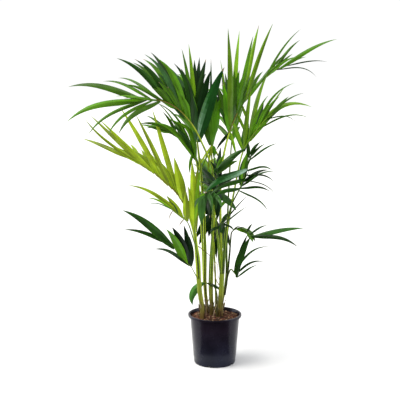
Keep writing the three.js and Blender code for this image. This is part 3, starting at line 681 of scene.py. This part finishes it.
class Shape:
    """Gathers vertices and faces, with a material for each face and a leaf map, into one mesh."""

    def __init__(self):
        self.points = []
        self.faces = []
        self.looks = []
        self.leaf = []
        self.count = 0

    def add(self, points, faces, looks, leaf=()):
        self.points.append(np.asarray(points, float))
        self.faces.extend([[i + self.count for i in face] for face in faces])
        self.count += len(points)
        self.looks.extend(looks if isinstance(looks, list) else [looks] * len(faces))
        self.leaf.extend(leaf)

    def piece(self, name, replaces=(), slot=None, smooth_angle=50):
        mesh = bpy.data.meshes.new(name)
        mesh.from_pydata(np.concatenate(self.points).tolist(), [], self.faces)
        materials = list(dict.fromkeys(self.looks))
        for material in materials:
            mesh.materials.append(material)
        places = {material: i for i, material in enumerate(materials)}
        mesh.polygons.foreach_set("material_index", [places[look] for look in self.looks])
        if self.leaf:
            mesh.uv_layers.new(name="leaf").data.foreach_set("uv", np.array(self.leaf, np.float32).ravel())
        mesh.polygons.foreach_set("use_smooth", np.ones(len(mesh.polygons), bool))
        mesh.set_sharp_from_angle(angle=math.radians(smooth_angle))
        mesh.validate()
        piece = placed(name, mesh)
        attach(piece, "root")
        if replaces:
            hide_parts(*replaces)
        return piece


def unit(v):
    return v / np.linalg.norm(v, axis=-1, keepdims=True)


def centripetal(points, share):
    """A point at a share of the run of a centripetal curve through the points."""
    place = (len(points) - 1) * share
    i = min(int(place), len(points) - 2)
    w = place - i
    p1, p2 = points[i], points[i + 1]
    p0 = points[i - 1] if i > 0 else 2 * p1 - p2
    p3 = points[i + 2] if i + 2 < len(points) else 2 * p2 - p1
    d0, d1, d2 = (max(np.sum((b - a) ** 2) ** 0.25, 1e-6) for a, b in ((p0, p1), (p1, p2), (p2, p3)))
    m1 = ((p1 - p0) / d0 - (p2 - p0) / (d0 + d1) + (p2 - p1) / d1) * d1
    m2 = ((p2 - p1) / d1 - (p3 - p1) / (d1 + d2) + (p3 - p2) / d2) * d1
    return p1 + m1 * w + (3 * (p2 - p1) - 2 * m1 - m2) * w**2 + (2 * (p1 - p2) + m1 + m2) * w**3


def sampled(points, start, end, count):
    """Evenly spaced points of the curve between two shares of it."""
    return np.array([centripetal(points, start + (end - start) * k / (count - 1)) for k in range(count)])


def tangents(run):
    return unit(np.gradient(run, axis=0))


def frames(run, first_side):
    """Two directions square to the run at each point, carried along it without twist."""
    along = tangents(run)
    side = np.array(first_side, float)
    sides = []
    for direction in along:
        side = unit(side - direction * np.dot(side, direction))
        sides.append(side)
    sides = np.array(sides)
    return sides, np.cross(along, sides)


def angles_round(corners):
    """Evenly spaced angles round a circle."""
    return 2 * np.pi * np.arange(corners) / corners


def tube_rings(run, radii, outline, first_side=(1, 0, 0)):
    """Rings round a run, with a radius for each ring and a factor of it for each corner."""
    side, other = frames(run, first_side)
    angle = angles_round(len(outline))
    spread = np.outer(radii, outline)
    return (run[:, None] + side[:, None] * (spread * np.cos(angle))[..., None]
            + other[:, None] * (spread * np.sin(angle))[..., None])


def ring_faces(rings, corners):
    """Quads between neighbouring rings, facing out for rings that turn left about their run."""
    return [[r * corners + i, r * corners + (i + 1) % corners,
             (r + 1) * corners + (i + 1) % corners, (r + 1) * corners + i]
            for r in range(rings - 1) for i in range(corners)]


def add_tube(shape, rings, look):
    """A closed tube from its rings, with flat ends."""
    count, corners = rings.shape[:2]
    faces = ring_faces(count, corners)
    faces.append(list(range(corners))[::-1])
    faces.append([(count - 1) * corners + i for i in range(corners)])
    shape.add(rings.reshape(-1, 3), faces, look)


# ---- leaflets

# A leaflet's stations along it and how they crowd towards its tip, half its thickness in metres at the
# ridge and half-way to the margin, its fold and twist in degrees, its sway as a share of its length, and
# how much thinner its tip is.
LEAFLET = {
    "stations": 16, "crowding": 0.92, "ridge": 0.0009, "web": 0.0003, "fold_base": 42, "fold_tip": 12,
    "sway": 0.012, "twist": 8, "tip_twist": 14, "thinning": 0.7,
}
# How wide its neck is at the root, as a share of its full width, and the shares of its length where the
# neck ends and the tip starts.
LEAFLET_FORM = {"neck": 0.42, "neck_end": 0.26, "tip_start": 0.36}
CROSS = 8  # corners of a leaflet's section: four faces above, four below
ACROSS = (0, 0.25, 0.5, 0.75, 1, 0.75, 0.5, 0.25, 0)  # the leaf map's place across, by corner
DRY_STATIONS = (0, 0, 0, 0, 0, 1)  # how many stations are dead at the tip, drawn at random
# The painted tones of a leaflet's two halves, drawn at random: one half of the fold painted lighter or
# darker than the other, as the light would make it, or the whole leaflet in painted shade.
HALF_TONES = (
    ("plain", "plain"), ("plain", "shade"), ("shade", "plain"), ("plain", "shine"), ("shine", "plain"),
    ("shade", "shade"),
)
FIRST_HALF = (0, 1, 6, 7)  # the sides of the section that are on one side of its ridge
PAINTED_SHEEN_AHEAD = (0, 2, 0, 0, 0, 0, 2, 0)  # how many stations earlier the painted sheen ends, by side of the section
RIB_ENDS = (0.015, 0.985)  # the shares of a rib between which leaflets stand
# How far leaflets vary at random: those between two of a row, and those that lie close along the rib.
BETWEEN = {"turn": 2, "length": (0.82, 0.98)}
CLOSE = {"turn": 4, "length": (0.85, 1.15), "width": (0.8, 1.1), "bow": (0.02, 0.07)}
CLOSE_POINTS = 40  # where along a rib they may stand


def leaflet_width(t):
    """The share of the full width along a leaflet: a narrow neck, long flanks and a drawn-out tip."""
    root, neck_end, tip_start = (LEAFLET_FORM[key] for key in ("neck", "neck_end", "tip_start"))
    neck = root + (1 - root) * np.clip(t / neck_end, 0, 1) ** 0.9
    tip = 1 - np.clip((t - tip_start) / (1 - tip_start), 0, 1) ** 1.9
    return neck * tip


def add_leaflet(shape, leaves, root, spec):
    """One leaflet: a folded blade with a ridge, thick at its middle line and thin at its margins. It
    arches upwards between its ends, but hardly where it stands upright."""
    along, length = spec["along"], spec["length"]
    over = UP - along * along[2]
    if np.linalg.norm(over) > 0.05:
        over = unit(over)
    t = np.linspace(0, 1, LEAFLET["stations"]) ** LEAFLET["crowding"]
    sway_side = unit(np.cross(along, over)) * either_way(LEAFLET["sway"])
    arch = 4 * t * (1 - t) * (1 + 0.9 * (t - 0.5))  # highest a little beyond the middle
    run = (root + np.outer(t, along) * length + np.outer(spec["bow"] * length * arch, over)
           + np.outer(np.sin(t * math.pi * 1.4) * t * length, sway_side))
    direction = tangents(run)
    face = unit(spec["facing"] - direction * (direction @ spec["facing"])[:, None])
    across = np.cross(direction, face)
    twist = np.radians(either_way(LEAFLET["twist"]) + either_way(LEAFLET["tip_twist"]) * t)[:, None]
    turned = across * np.cos(twist) - face * np.sin(twist)
    face = face * np.cos(twist) + across * np.sin(twist)
    half = (spec["width"] * MM / 2 * leaflet_width(t))[:, None]
    unfolding = LEAFLET["fold_base"] - LEAFLET["fold_tip"]
    fold = np.radians(LEAFLET["fold_tip"] + unfolding * (1 - t) ** 2)[:, None]
    thick = (1 - LEAFLET["thinning"] * t)[:, None]

    def corner(side, drop, lift):
        return run + turned * side * half + face * (lift - drop * half * np.tan(fold))

    ridge, web = LEAFLET["ridge"] * thick, LEAFLET["web"] * thick
    ring = [
        corner(-1, 1, 0), corner(-0.5, 0.42, web), corner(0, 0, ridge), corner(0.5, 0.42, web),
        corner(1, 1, 0), corner(0.5, 0.42, -web), corner(0, 0, -ridge), corner(-0.5, 0.42, -web),
    ]
    rings = np.stack(ring, axis=1)
    last = len(t) - 1
    points = np.vstack([rings[:last].reshape(-1, 3), run[last]])
    tip = len(points) - 1
    faces = ring_faces(last, CROSS)
    faces += [[(last - 1) * CROSS + i, (last - 1) * CROSS + (i + 1) % CROSS, tip] for i in range(CROSS)]
    faces.append(list(range(CROSS))[::-1])
    dry_from = last - DICE.choice(DRY_STATIONS)
    tones = DICE.choice(HALF_TONES)
    # A leaflet with the painted sheen gets no painted shade or highlight on its halves.
    if spec["tint"] == "glossy":
        tones = HALF_TONES[0]
    cells = [(r, i) for r in range(last) for i in range(CROSS)]
    looks = [leaflet_look(leaves, spec["tint"], tones, r, i, dry_from) for r, i in cells]
    looks.append(looks[0])
    leaf = []
    for r, i in cells:
        u, v = (ACROSS[i], ACROSS[i + 1]), (t[r], t[r + 1])
        leaf += [(u[0], v[0]), (u[1], v[0])]
        leaf += [(u[1], v[1]), (u[0], v[1])] if r < last - 1 else [(0.5, 1)]
    leaf += [(ACROSS[i], 0) for i in reversed(range(CROSS))]
    shape.add(points, faces, looks, leaf)


def leaflet_look(leaves, tint, tones, station, side, dry_from):
    """The material of one face, by its station along the leaflet and its side of the section."""
    half = 0 if side in FIRST_HALF else 1
    # The painted sheen: one half steps from a pale painted reflection at the foot to bottle green, the
    # other half is bottle green.
    if tint == "glossy":
        share = 1 if half else (station + PAINTED_SHEEN_AHEAD[side]) / GLOSS["length"]
        tint = f"gloss_{min(GLOSS['steps'] - 1, int(share * GLOSS['steps']))}"
    if station >= dry_from:
        tint = "dry"
    return leaves[tint, tones[half], "top" if side < CROSS / 2 else "under"]


def facing_direction(facing):
    """Where an upper face looks, from straight up at 0 to straight to the front at 90 degrees."""
    return np.array([0, -math.sin(math.radians(facing)), math.cos(math.radians(facing))])


def row_leaflets(frond, line, points, span):
    """The leaflets of a row, and the shorter ones between them."""
    count, steps = len(line["rise"]), line["fill"] + 1
    tints = (line["tint"] or frond["tint"]).split()
    found = []
    for k in range((count - 1) * steps + 1):
        i = k / steps
        between = k % steps > 0

        def at(key):
            value = line[key]
            if isinstance(value, tuple):
                return np.interp(i, (0, max(1, count - 1)), value)
            return np.interp(i, range(count), value) if isinstance(value, list) else value

        share = min(max(at("span"), RIB_ENDS[0]), RIB_ENDS[1])
        root = centripetal(points, span[0] + (span[1] - span[0]) * share)
        side = either_way(1) if between else 1 - 2 * (round(i) % 2)
        lean = math.radians(at("toward") + side * line["fan"])
        rise = math.radians(at("rise") + (either_way(BETWEEN["turn"]) if between else 0))
        reach = at("reach") * (DICE.uniform(*BETWEEN["length"]) if between else 1)
        level = math.cos(lean)
        along = np.array([math.cos(rise) * level, -math.sin(lean), math.sin(rise) * level])
        found.append((root, {
            "along": along, "length": reach * MM / level, "width": at("width"),
            "facing": facing_direction(line["facing"]), "bow": at("bow"),
            "tint": tints[round(i) if len(tints) > 1 else 0],
        }))
    return found


def cover_leaflets(frond, blade, points, span):
    """Leaflets that lie along the rib, as they do where they are crowded."""
    rule = blade["cover"]
    run = sampled(points, span[0] + (span[1] - span[0]) * rule["start"], span[1], CLOSE_POINTS)
    direction = tangents(run)
    count = int(np.linalg.norm(np.diff(run, axis=0), axis=1).sum() / (rule["spacing"] * MM))
    facing = facing_direction(blade["rows"][0]["facing"])
    found = []
    for k in range(count):
        share = (k + 0.5) / count
        place = int(share * (len(run) - 1))
        tangent = direction[place]
        across = unit(np.cross(tangent, unit(facing - tangent * (tangent @ facing))))
        angle = math.radians(np.interp(share, (0, 1), rule["angles"]) + either_way(CLOSE["turn"]))
        side = rule["sides"][k % len(rule["sides"])]
        found.append((run[place], {
            "along": unit(tangent * math.cos(angle) + across * side * math.sin(angle)),
            "length": np.interp(share, (0, 1), rule["reach"]) * MM * DICE.uniform(*CLOSE["length"]),
            "width": rule["width"] * DICE.uniform(*CLOSE["width"]), "facing": facing,
            "bow": DICE.uniform(*CLOSE["bow"]), "tint": rule["tint"] or frond["tint"],
        }))
    return found


# ---- fronds


def stem_ends(stem):
    """The middle of a stem's foot and of its top."""
    return np.array([*stem["foot"], SOIL_LEVEL], float), np.array(stem["top"], float)


def stem_run(stem):
    """The points of a stem's axis, which rises more steeply at first and ends a little beyond its top."""
    foot, top = stem_ends(stem)
    third = foot + (top - foot) * 0.35
    third[:2] = (third[:2] + 2 * foot[:2]) / 3
    return np.array([foot, third, foot + (top - foot) * 0.7, top, top + (top - foot) * STEM_OVERRUN]) * MM


def frond_run(frond):
    """The points of a frond's whole run, and the share of it where each part ends. A stalk starts inside
    its stem, half-way up, or just under the soil."""
    seat = np.array([*frond["seat"], 0.0])
    if frond["stem"]:
        foot, top = stem_ends(STEMS[frond["stem"]])
        start = [foot + (top - foot) * 0.5 + seat * 0.3, top + seat * 0.7]
    else:
        start = [seat + (0, 0, SOIL_LEVEL - 6), seat + (0, 0, SOIL_LEVEL)]
    points = [*start, *frond["stalk"], frond["blades"][0]["rib"][0]]
    ends = [len(points) - 1]
    for blade in frond["blades"]:
        points += blade["rib"][1:]
        ends.append(len(points) - 1)
    shares = [end / (len(points) - 1) for end in ends]
    return np.array(points, float) * MM, shares


# A stalk's section from the middle of its channel round: the share of its radius at each corner, and
# which of the three looks of its kind each face has. The looks go from lit to shaded, so the channel and
# the back get painted shade and the flanks painted light.
STALK_SECTION = np.array([0.7, 0.86, 1.06, 1.02, 0.98, 0.95, 0.95, 0.95, 0.98, 1.02, 1.06, 0.86])
STALK_FACE_SHADING = (2, 0, 0, 0, 1, 2, 2, 1, 0, 0, 0, 2)
# Each kind's three looks go from lit to shaded: the painted light and shade round a stalk.
STALK_LOOKS = {
    "bright": ("lime", "green", "olive"),
    "dull": ("green", "olive", "dusk"),
    "dark": ("olive", "dusk", "dusk"),
    "rusty": ("rust", "green", "olive"),
    "arching": ("lime_to_rust", "lime_to_rust", "olive"),
}
STALK_RINGS = 36
RIB_RINGS = 24
RIB_SHARE = 0.5  # a rib's radius at its foot as a share of the stalk's at its own
RIB_TAPER = 0.7  # how much of its radius a rib loses on the way to the tip


def add_stalk(shape, run, radii, channel, looks):
    """A tapering stalk with a channel along the side that faces up on an arching frond."""
    # The faces take the lit, middle and shaded looks in turn, as painted light and shade; the ends the
    # middle one.
    face_looks = (len(run) - 1) * [looks[i] for i in STALK_FACE_SHADING] + 2 * [looks[1]]
    add_tube(shape, tube_rings(run, radii, STALK_SECTION, channel), face_looks)


def make_frond(frond, leaves, looks):
    """The stalk, the ribs and the leaflets of one frond. The channel is on the side that faces back to
    the foot, which is the upper side of an arch."""
    points, shares = frond_run(frond)
    back = points[0] - points[-1]
    channel = (back[0], back[1], 0.02)
    name, radius = frond["name"], frond["radius"]
    stalk = Shape()
    run = sampled(points, 0, shares[0], STALK_RINGS)
    radii = np.linspace(radius, radius * RIB_SHARE, len(run)) * MM
    add_stalk(stalk, run, radii, channel, [looks[look] for look in STALK_LOOKS[frond["kind"]]])
    stalk.piece(f"stalk_{name}", [f"petiole_{name}"], "petiole")
    rib_looks = [looks[look] for look in STALK_LOOKS[frond["rib_kind"]]]
    for i, blade in enumerate(frond["blades"]):
        span = (shares[i], shares[i + 1])
        count = len(frond["blades"])
        label = f"{name}_{blade['name']}" if blade["name"] else name
        run = sampled(points, *span, RIB_RINGS)
        taper = np.linspace(1 - RIB_TAPER * i / count, 1 - RIB_TAPER * (i + 1) / count, len(run))
        rib = Shape()
        add_stalk(rib, run, radius * RIB_SHARE * taper * MM, channel, rib_looks)
        rib.piece(f"rib_{label}", [f"frond_{label}"], "frond")
        leaflets = Shape()
        for line in blade["rows"]:
            for root, spec in row_leaflets(frond, line, points, span):
                add_leaflet(leaflets, leaves, root, spec)
        if blade["cover"]:
            for root, spec in cover_leaflets(frond, blade, points, span):
                add_leaflet(leaflets, leaves, root, spec)
        leaflets.piece(f"leaflets_{label}", [f"frond_{label}"], "frond")


# ---- stems


def add_sheath(shape, run, radii, layer, look):
    """A ribbed sleeve round the run, which ends in an oblique, torn rim with its edge turned in."""
    corners, rings = SHEATH_GRID["corners"], SHEATH_GRID["rings"]
    places = np.linspace(0, 1, len(run))
    side, other = frames(run, (1, 0, 0))
    length = np.linalg.norm(np.diff(run, axis=0), axis=1).sum() / MM
    angle = angles_round(corners)
    turn = DICE.uniform(0, 2 * math.pi)
    torn = np.array([either_way(1) for _ in angle]) * layer["tear"]
    slanted = layer["slant"] * np.cos(angle - turn)
    rim = layer["end"] / (1 + STEM_OVERRUN) + (slanted + torn) / length
    # Two rings more than the grid has turn the rim's edge in and down.
    rise = np.append(np.linspace(0, 1, rings), [1.0, 0.93])[:, None]
    inset = np.append(np.zeros(rings), [0.6, 1.0])[:, None]
    share = np.clip(rise * rim, 0, 1)
    # Shallow ribs, nine and fourteen round the stem, the finer ones turning as they rise.
    ribs = 1 + 0.03 * np.sin(9 * angle + turn) + 0.02 * np.sin(14 * angle - 2 * turn + 9 * share)
    radius = (np.interp(share, places, radii) + layer["swell"]) * ribs - inset

    def read(values):
        return np.stack([np.interp(share, places, values[:, k]) for k in range(3)], axis=-1)

    out = read(side) * np.cos(angle)[:, None] + read(other) * np.sin(angle)[:, None]
    add_tube(shape, read(run) + out * radius[..., None] * MM, look)


def make_stems(looks):
    """The stems, each of a few sheaths one inside the other."""
    for name, stem in STEMS.items():
        run = sampled(stem_run(stem), 0, 1, STEM_POINTS)
        t = np.linspace(0, 1, len(run))
        low, high = stem["radii"]
        radii = low + (high - low) * t + STEM_FLARE * np.exp(-8 * t)
        shape = Shape()
        for layer in SHEATHS:
            add_sheath(shape, run, radii, layer, looks[layer["look"]])
        shape.piece(f"sheath_{name}", [f"stem_{name}"], "stem")


def level_direction():
    """A random direction square to the upright."""
    turn = DICE.uniform(0, 2 * math.pi)
    return np.array([math.cos(turn), math.sin(turn), 0])


def add_scale(shape, stem, leaves):
    """A papery scale that clings to the lower third of a stem."""
    foot, top = stem_ends(stem)
    out = level_direction()
    root = foot + (top - foot) * DICE.uniform(0, 0.32) + out * (stem["radii"][0] + 1)
    add_leaflet(shape, leaves, root * MM, {
        "along": unit(UP + out * DICE.uniform(0.05, 0.4)), "length": DICE.uniform(0.014, 0.04),
        "width": DICE.uniform(5, 9), "facing": out, "bow": -0.08,
        "tint": DICE.choice(["dry", "dry", "bark"]),
    })


def add_stub(shape, stem, look):
    """The stub of an old stalk, which leans away from the foot of a stem."""
    foot, _ = stem_ends(stem)
    out = level_direction()
    base = foot + out * (stem["radii"][0] + 4)
    tall = UP * DICE.uniform(14, 42)
    points = np.array([base - UP * 4, base + tall / 2 + out, base + tall + out * 3]) * MM
    run = sampled(points, 0, 1, 6)
    thick = DICE.uniform(2, 3.6) * MM
    add_tube(shape, tube_rings(run, np.linspace(thick, thick * 0.8, len(run)), STALK_SECTION), look)


def make_dry_pieces(leaves, looks):
    """Scales and stubs round the feet of the stems, and the dead stalks and fibres of the table."""
    scales, stubs = Shape(), Shape()
    nodes = [f"stem_{name}" for name in STEMS]
    for stem in STEMS.values():
        for _ in range(SCALES_EACH):
            add_scale(scales, stem, leaves)
        for _ in range(STUBS_EACH):
            add_stub(stubs, stem, looks["bark"])
    for points, radius, look in DRY_PIECES:
        run = sampled(np.array(points, float) * MM, 0, 1, DRY_RINGS)
        radii = np.linspace(radius, radius * 0.6, len(run)) * MM
        add_tube(stubs, tube_rings(run, radii, np.ones(DRY_CORNERS)), looks[look])
    scales.piece("dry_scales", nodes, "stem")
    stubs.piece("dry_stalks", nodes, "stem")


# ---- pot and soil


def lathe(profile, sides, look):
    """A closed turned body from a profile of radius and height that starts and ends on the axis."""
    shape = Shape()
    angle = angles_round(sides)
    circle = np.stack([np.cos(angle), np.sin(angle)], axis=1)
    rings = [np.column_stack([circle * r, np.full(sides, z)]) for r, z in profile[1:-1]]
    points = np.vstack([*rings, [[0, 0, profile[0][1]]], [[0, 0, profile[-1][1]]]])
    count = len(rings)
    faces = ring_faces(count, sides)
    first, last = count * sides, count * sides + 1
    faces += [[first, (i + 1) % sides, i] for i in range(sides)]
    faces += [[last, (count - 1) * sides + i, (count - 1) * sides + (i + 1) % sides] for i in range(sides)]
    shape.add(points * MM, faces, look)
    return shape


def pot_profile():
    """The pot's half section from the hollow underside, up the outside, over the lip and down inside."""
    height, rim, body_top = POT["height"], POT["rim"], POT["body_top"]
    base, step, step_height, wall = POT["base"], POT["step"], POT["step_height"], POT["wall"]
    hollow, floor = POT["hollow"], POT["hollow"] + POT["floor"]
    lip_foot, lip_top = height - POT["lip_depth"], height - POT["lip_top"]
    curl, roll = POT["curl"], POT["roll"]
    quarter = np.linspace(0, math.pi / 2, 5)
    return [
        (0, hollow), (base - 26, hollow), (base - 22, 0),  # the hollow, inside the ring that it stands on
        (base - 3, 0), (base - 0.8, 0.8), (base, 3), (base + 0.8, 9),  # the rounded foot
        (step - 1.4, step_height - 2), (step, step_height),
        (body_top - 0.3, lip_foot - 3), (body_top + 2, lip_top),  # the body, up into the lip
        (rim - wall, lip_top), (rim - wall + 0.4, lip_foot), (rim, lip_foot + 0.8),
        *((rim - curl + curl * math.cos(a), height - curl + curl * math.sin(a)) for a in quarter),
        *((body_top + 3 - roll * math.sin(a), height - roll + roll * math.cos(a)) for a in quarter),
        (body_top - wall, lip_foot), (step - wall, step_height), (base - wall, floor), (0, floor),
    ]


def notch_tool(material):
    """The blocks that cut the drainage notches out of the pot's foot."""
    cutter = Shape()
    half, base = NOTCHES["width"] / 2, POT["base"]
    corners = [(x, y, z) for x in (-half, half) for y in (-base - 6, -base + 30)
               for z in (-NOTCHES["height"], NOTCHES["height"])]
    faces = [[0, 1, 3, 2], [4, 6, 7, 5], [0, 4, 5, 1], [2, 3, 7, 6], [0, 2, 6, 4], [1, 5, 7, 3]]
    for i in range(NOTCHES["count"]):
        turn = Matrix.Rotation(math.radians(NOTCHES["first"] + 360 * i / NOTCHES["count"]), 3, "Z")
        cutter.add([turn @ Vector(c) * MM for c in corners], faces, material)
    return cutter.piece("notch_cutter")


def apply_modifiers(piece):
    """Turns what the modifiers make of a piece into its own mesh."""
    graph = bpy.context.evaluated_depsgraph_get()
    mesh = bpy.data.meshes.new_from_object(piece.evaluated_get(graph))
    piece.modifiers.clear()
    piece.data = mesh


def make_pot(material):
    """The pot, turned and then notched at its foot."""
    shape = lathe(pot_profile(), POT["sides"], material)
    pot = shape.piece("nursery_pot", ["pot"], "pot", smooth_angle=35)
    tool = notch_tool(material)
    cut = pot.modifiers.new("notches", "BOOLEAN")
    cut.object = tool
    cut.operation = "DIFFERENCE"
    cut.solver = "EXACT"
    apply_modifiers(pot)
    bpy.data.objects.remove(tool)


def wall_inside(z):
    """The pot's inner radius at a height, in millimetres."""
    if z < POT["step_height"]:
        outer = POT["base"] + (POT["step"] - POT["base"]) * z / POT["step_height"]
    else:
        rise = (z - POT["step_height"]) / (POT["height"] - POT["lip_depth"] - POT["step_height"])
        outer = POT["step"] + (POT["body_top"] - POT["step"]) * rise
    return outer - POT["wall"]


def make_soil(materials):
    """The potting mix, a turned body with an uneven top, and the loose chips of bark on it."""
    edge = wall_inside(SOIL_LEVEL - 3) - SOIL_GAP
    top = [(r, SOIL_LEVEL + 1.6 * noise.noise(Vector((r * 0.1, 0, 3)))) for r in np.linspace(edge, 4, 16)]
    low, step = POT["hollow"] + POT["floor"] + 1, POT["step_height"]
    profile = [
        (0, low), (wall_inside(low) - 2, low), (wall_inside(step) - SOIL_GAP, step),
        (edge, SOIL_LEVEL - 4), *top, (0, SOIL_LEVEL),
    ]
    shape = lathe(profile, SOIL_SIDES, materials[0])
    for p in shape.points[0]:
        if p[2] > (SOIL_LEVEL - 3) * MM:  # lumps and crumbs on the top only
            p[2] += 2.2 * MM * noise.noise(Vector(p) * 60) + 1.2 * MM * noise.noise(Vector(p) * 190)
    shape.piece("potting_mix", ["soil"], "soil")
    chips = Shape()
    for _ in range(CHIPS["count"]):
        radius = (edge - 3) * math.sqrt(DICE.random())
        centre = radius * level_direction()
        size = DICE.choice(CHIPS["sizes"])
        centre[2] = SOIL_LEVEL + DICE.uniform(-0.5, 2.5)
        add_chip(chips, centre * MM, size * MM, materials[DICE.choice(CHIPS["looks"])])
    chips.piece("bark_chips", ["soil"], "soil", smooth_angle=30)


def add_chip(shape, centre, size, look):
    """A flat, uneven chip of bark: a squashed six-sided lump with a point above and below, turned any
    way."""
    sides = 6
    turn = Matrix.Rotation(DICE.uniform(0, 6.28), 3, "Z") @ Matrix.Rotation(either_way(0.7), 3, "X")
    scale = np.array([DICE.uniform(0.9, 1.7), DICE.uniform(0.6, 1.0), DICE.uniform(0.25, 0.5)]) * size
    ring = []
    for a in np.linspace(0, 2 * math.pi, sides + 1)[:-1]:
        ring.append((math.cos(a) * DICE.uniform(0.75, 1.1), math.sin(a) * DICE.uniform(0.75, 1.1),
                     either_way(0.3)))
    cap = [(either_way(0.2), either_way(0.2), 1), (either_way(0.2), 0, -1)]
    points = [np.array(turn @ Vector(np.array(p) * scale)) + centre for p in ring + cap]
    faces = [[i, (i + 1) % sides, sides] for i in range(sides)]
    faces += [[(i + 1) % sides, i, sides + 1] for i in range(sides)]
    shape.add(points, faces, look)


# ---- stage


def add_light(name, kind, place, target, power, colour):
    data = bpy.data.lights.new(name, kind)
    data.energy = power
    data.color = colour
    light = placed(name, data)
    light.location = place
    light.rotation_euler = (Vector(target) - Vector(place)).to_track_quat("-Z", "Y").to_euler()
    return light


def area_light(name, place, size, power, colour):
    """A soft light without a visible shape, aimed at the middle of the pot."""
    light = add_light(name, "AREA", place, (0, 0, 0.3), power, colour)
    light.data.shape = "RECTANGLE"
    light.data.size, light.data.size_y = size
    light.visible_camera = False


def sun_light(name, direction, power, angle, colour):
    """A wide, soft sun that shines from a direction."""
    add_light(name, "SUN", direction, (0, 0, 0), power, colour).data.angle = math.radians(angle)


def make_world():
    """An even white light tent, bright enough that the floor shows white to its edge."""
    world = bpy.data.worlds.new("studio")
    bpy.context.scene.world = world
    world.use_nodes = True
    back = world.node_tree.nodes["Background"]
    back.inputs["Color"].default_value = (1, 1, 1, 1)
    back.inputs["Strength"].default_value = 1.04


def make_flag():
    """A black card on the floor before the pot and behind the camera's place, seen only in reflections."""
    spread = np.radians(np.linspace(-65, 65, 27))
    front = np.stack([np.sin(spread), -np.cos(spread)], axis=1)
    section = ((0.12, 0.001), (3.4, 0.001), (3.4, 2.6))  # its radius and height from end to end
    rings = [np.column_stack([front * r, np.full(len(front), z)]) for r, z in section]
    count = len(front)
    faces = [[r * count + i, r * count + i + 1, (r + 1) * count + i + 1, (r + 1) * count + i]
             for r in range(2) for i in range(count - 1)]
    mesh = bpy.data.meshes.new("flag")
    mesh.from_pydata(np.concatenate(rings).tolist(), [], faces)
    mesh.materials.append(grey_material("black_card", roughness=1.0, specular=0.0, scale=9.0,
                                        dark=0.004, light=0.008))
    flag = placed("flag", mesh)
    flag.visible_camera = flag.visible_diffuse = flag.visible_shadow = flag.visible_transmission = False


def make_floor():
    """A wide pale floor, a hair under the pot."""
    half, level = 60, -0.0004
    corners = [(x * half, y * half, level) for x, y in ((-1, -1), (1, -1), (1, 1), (-1, 1))]
    mesh = bpy.data.meshes.new("floor")
    mesh.from_pydata(corners, [], [(0, 1, 2, 3)])
    mesh.materials.append(grey_material("studio_floor", roughness=0.9, specular=0.1, scale=3.0,
                                        dark=0.71, light=0.73))
    floor = placed("floor", mesh)


def make_stage():
    make_floor()
    make_flag()
    make_world()
    sun_light("key", direction=(-0.47, -0.1, 0.87), power=3.1, angle=36, colour=(1, 0.98, 0.94))
    area_light("side_left", place=(-1.6, 0.6, 0.5), size=(1.0, 1.0), power=10, colour=(0.86, 0.9, 1))
    area_light("side_right", place=(1.7, -0.35, 0.5), size=(1.2, 1.0), power=10, colour=(0.84, 0.88, 1))
    bpy.context.scene.view_settings.view_transform = "Standard"


# ---- the object


def main():
    make_camera()
    leaves = leaf_materials()
    looks = {name: stalk_material(name, *colours) for name, colours in STALK_COLOURS.items()}
    for frond in FRONDS:
        make_frond(frond, leaves, looks)
    make_stems(looks)
    make_dry_pieces(leaves, looks)
    make_pot(plastic_material())
    make_soil([
        crumb_material("bark_brown", (52, 30, 20), (98, 66, 48)),
        crumb_material("bark_dark", (30, 18, 13), (64, 42, 30)),
        crumb_material("bark_red", (84, 48, 36), (132, 86, 66)),
        crumb_material("bark_pale", (126, 98, 74), (180, 152, 118)),
    ])
    make_stage()


main()
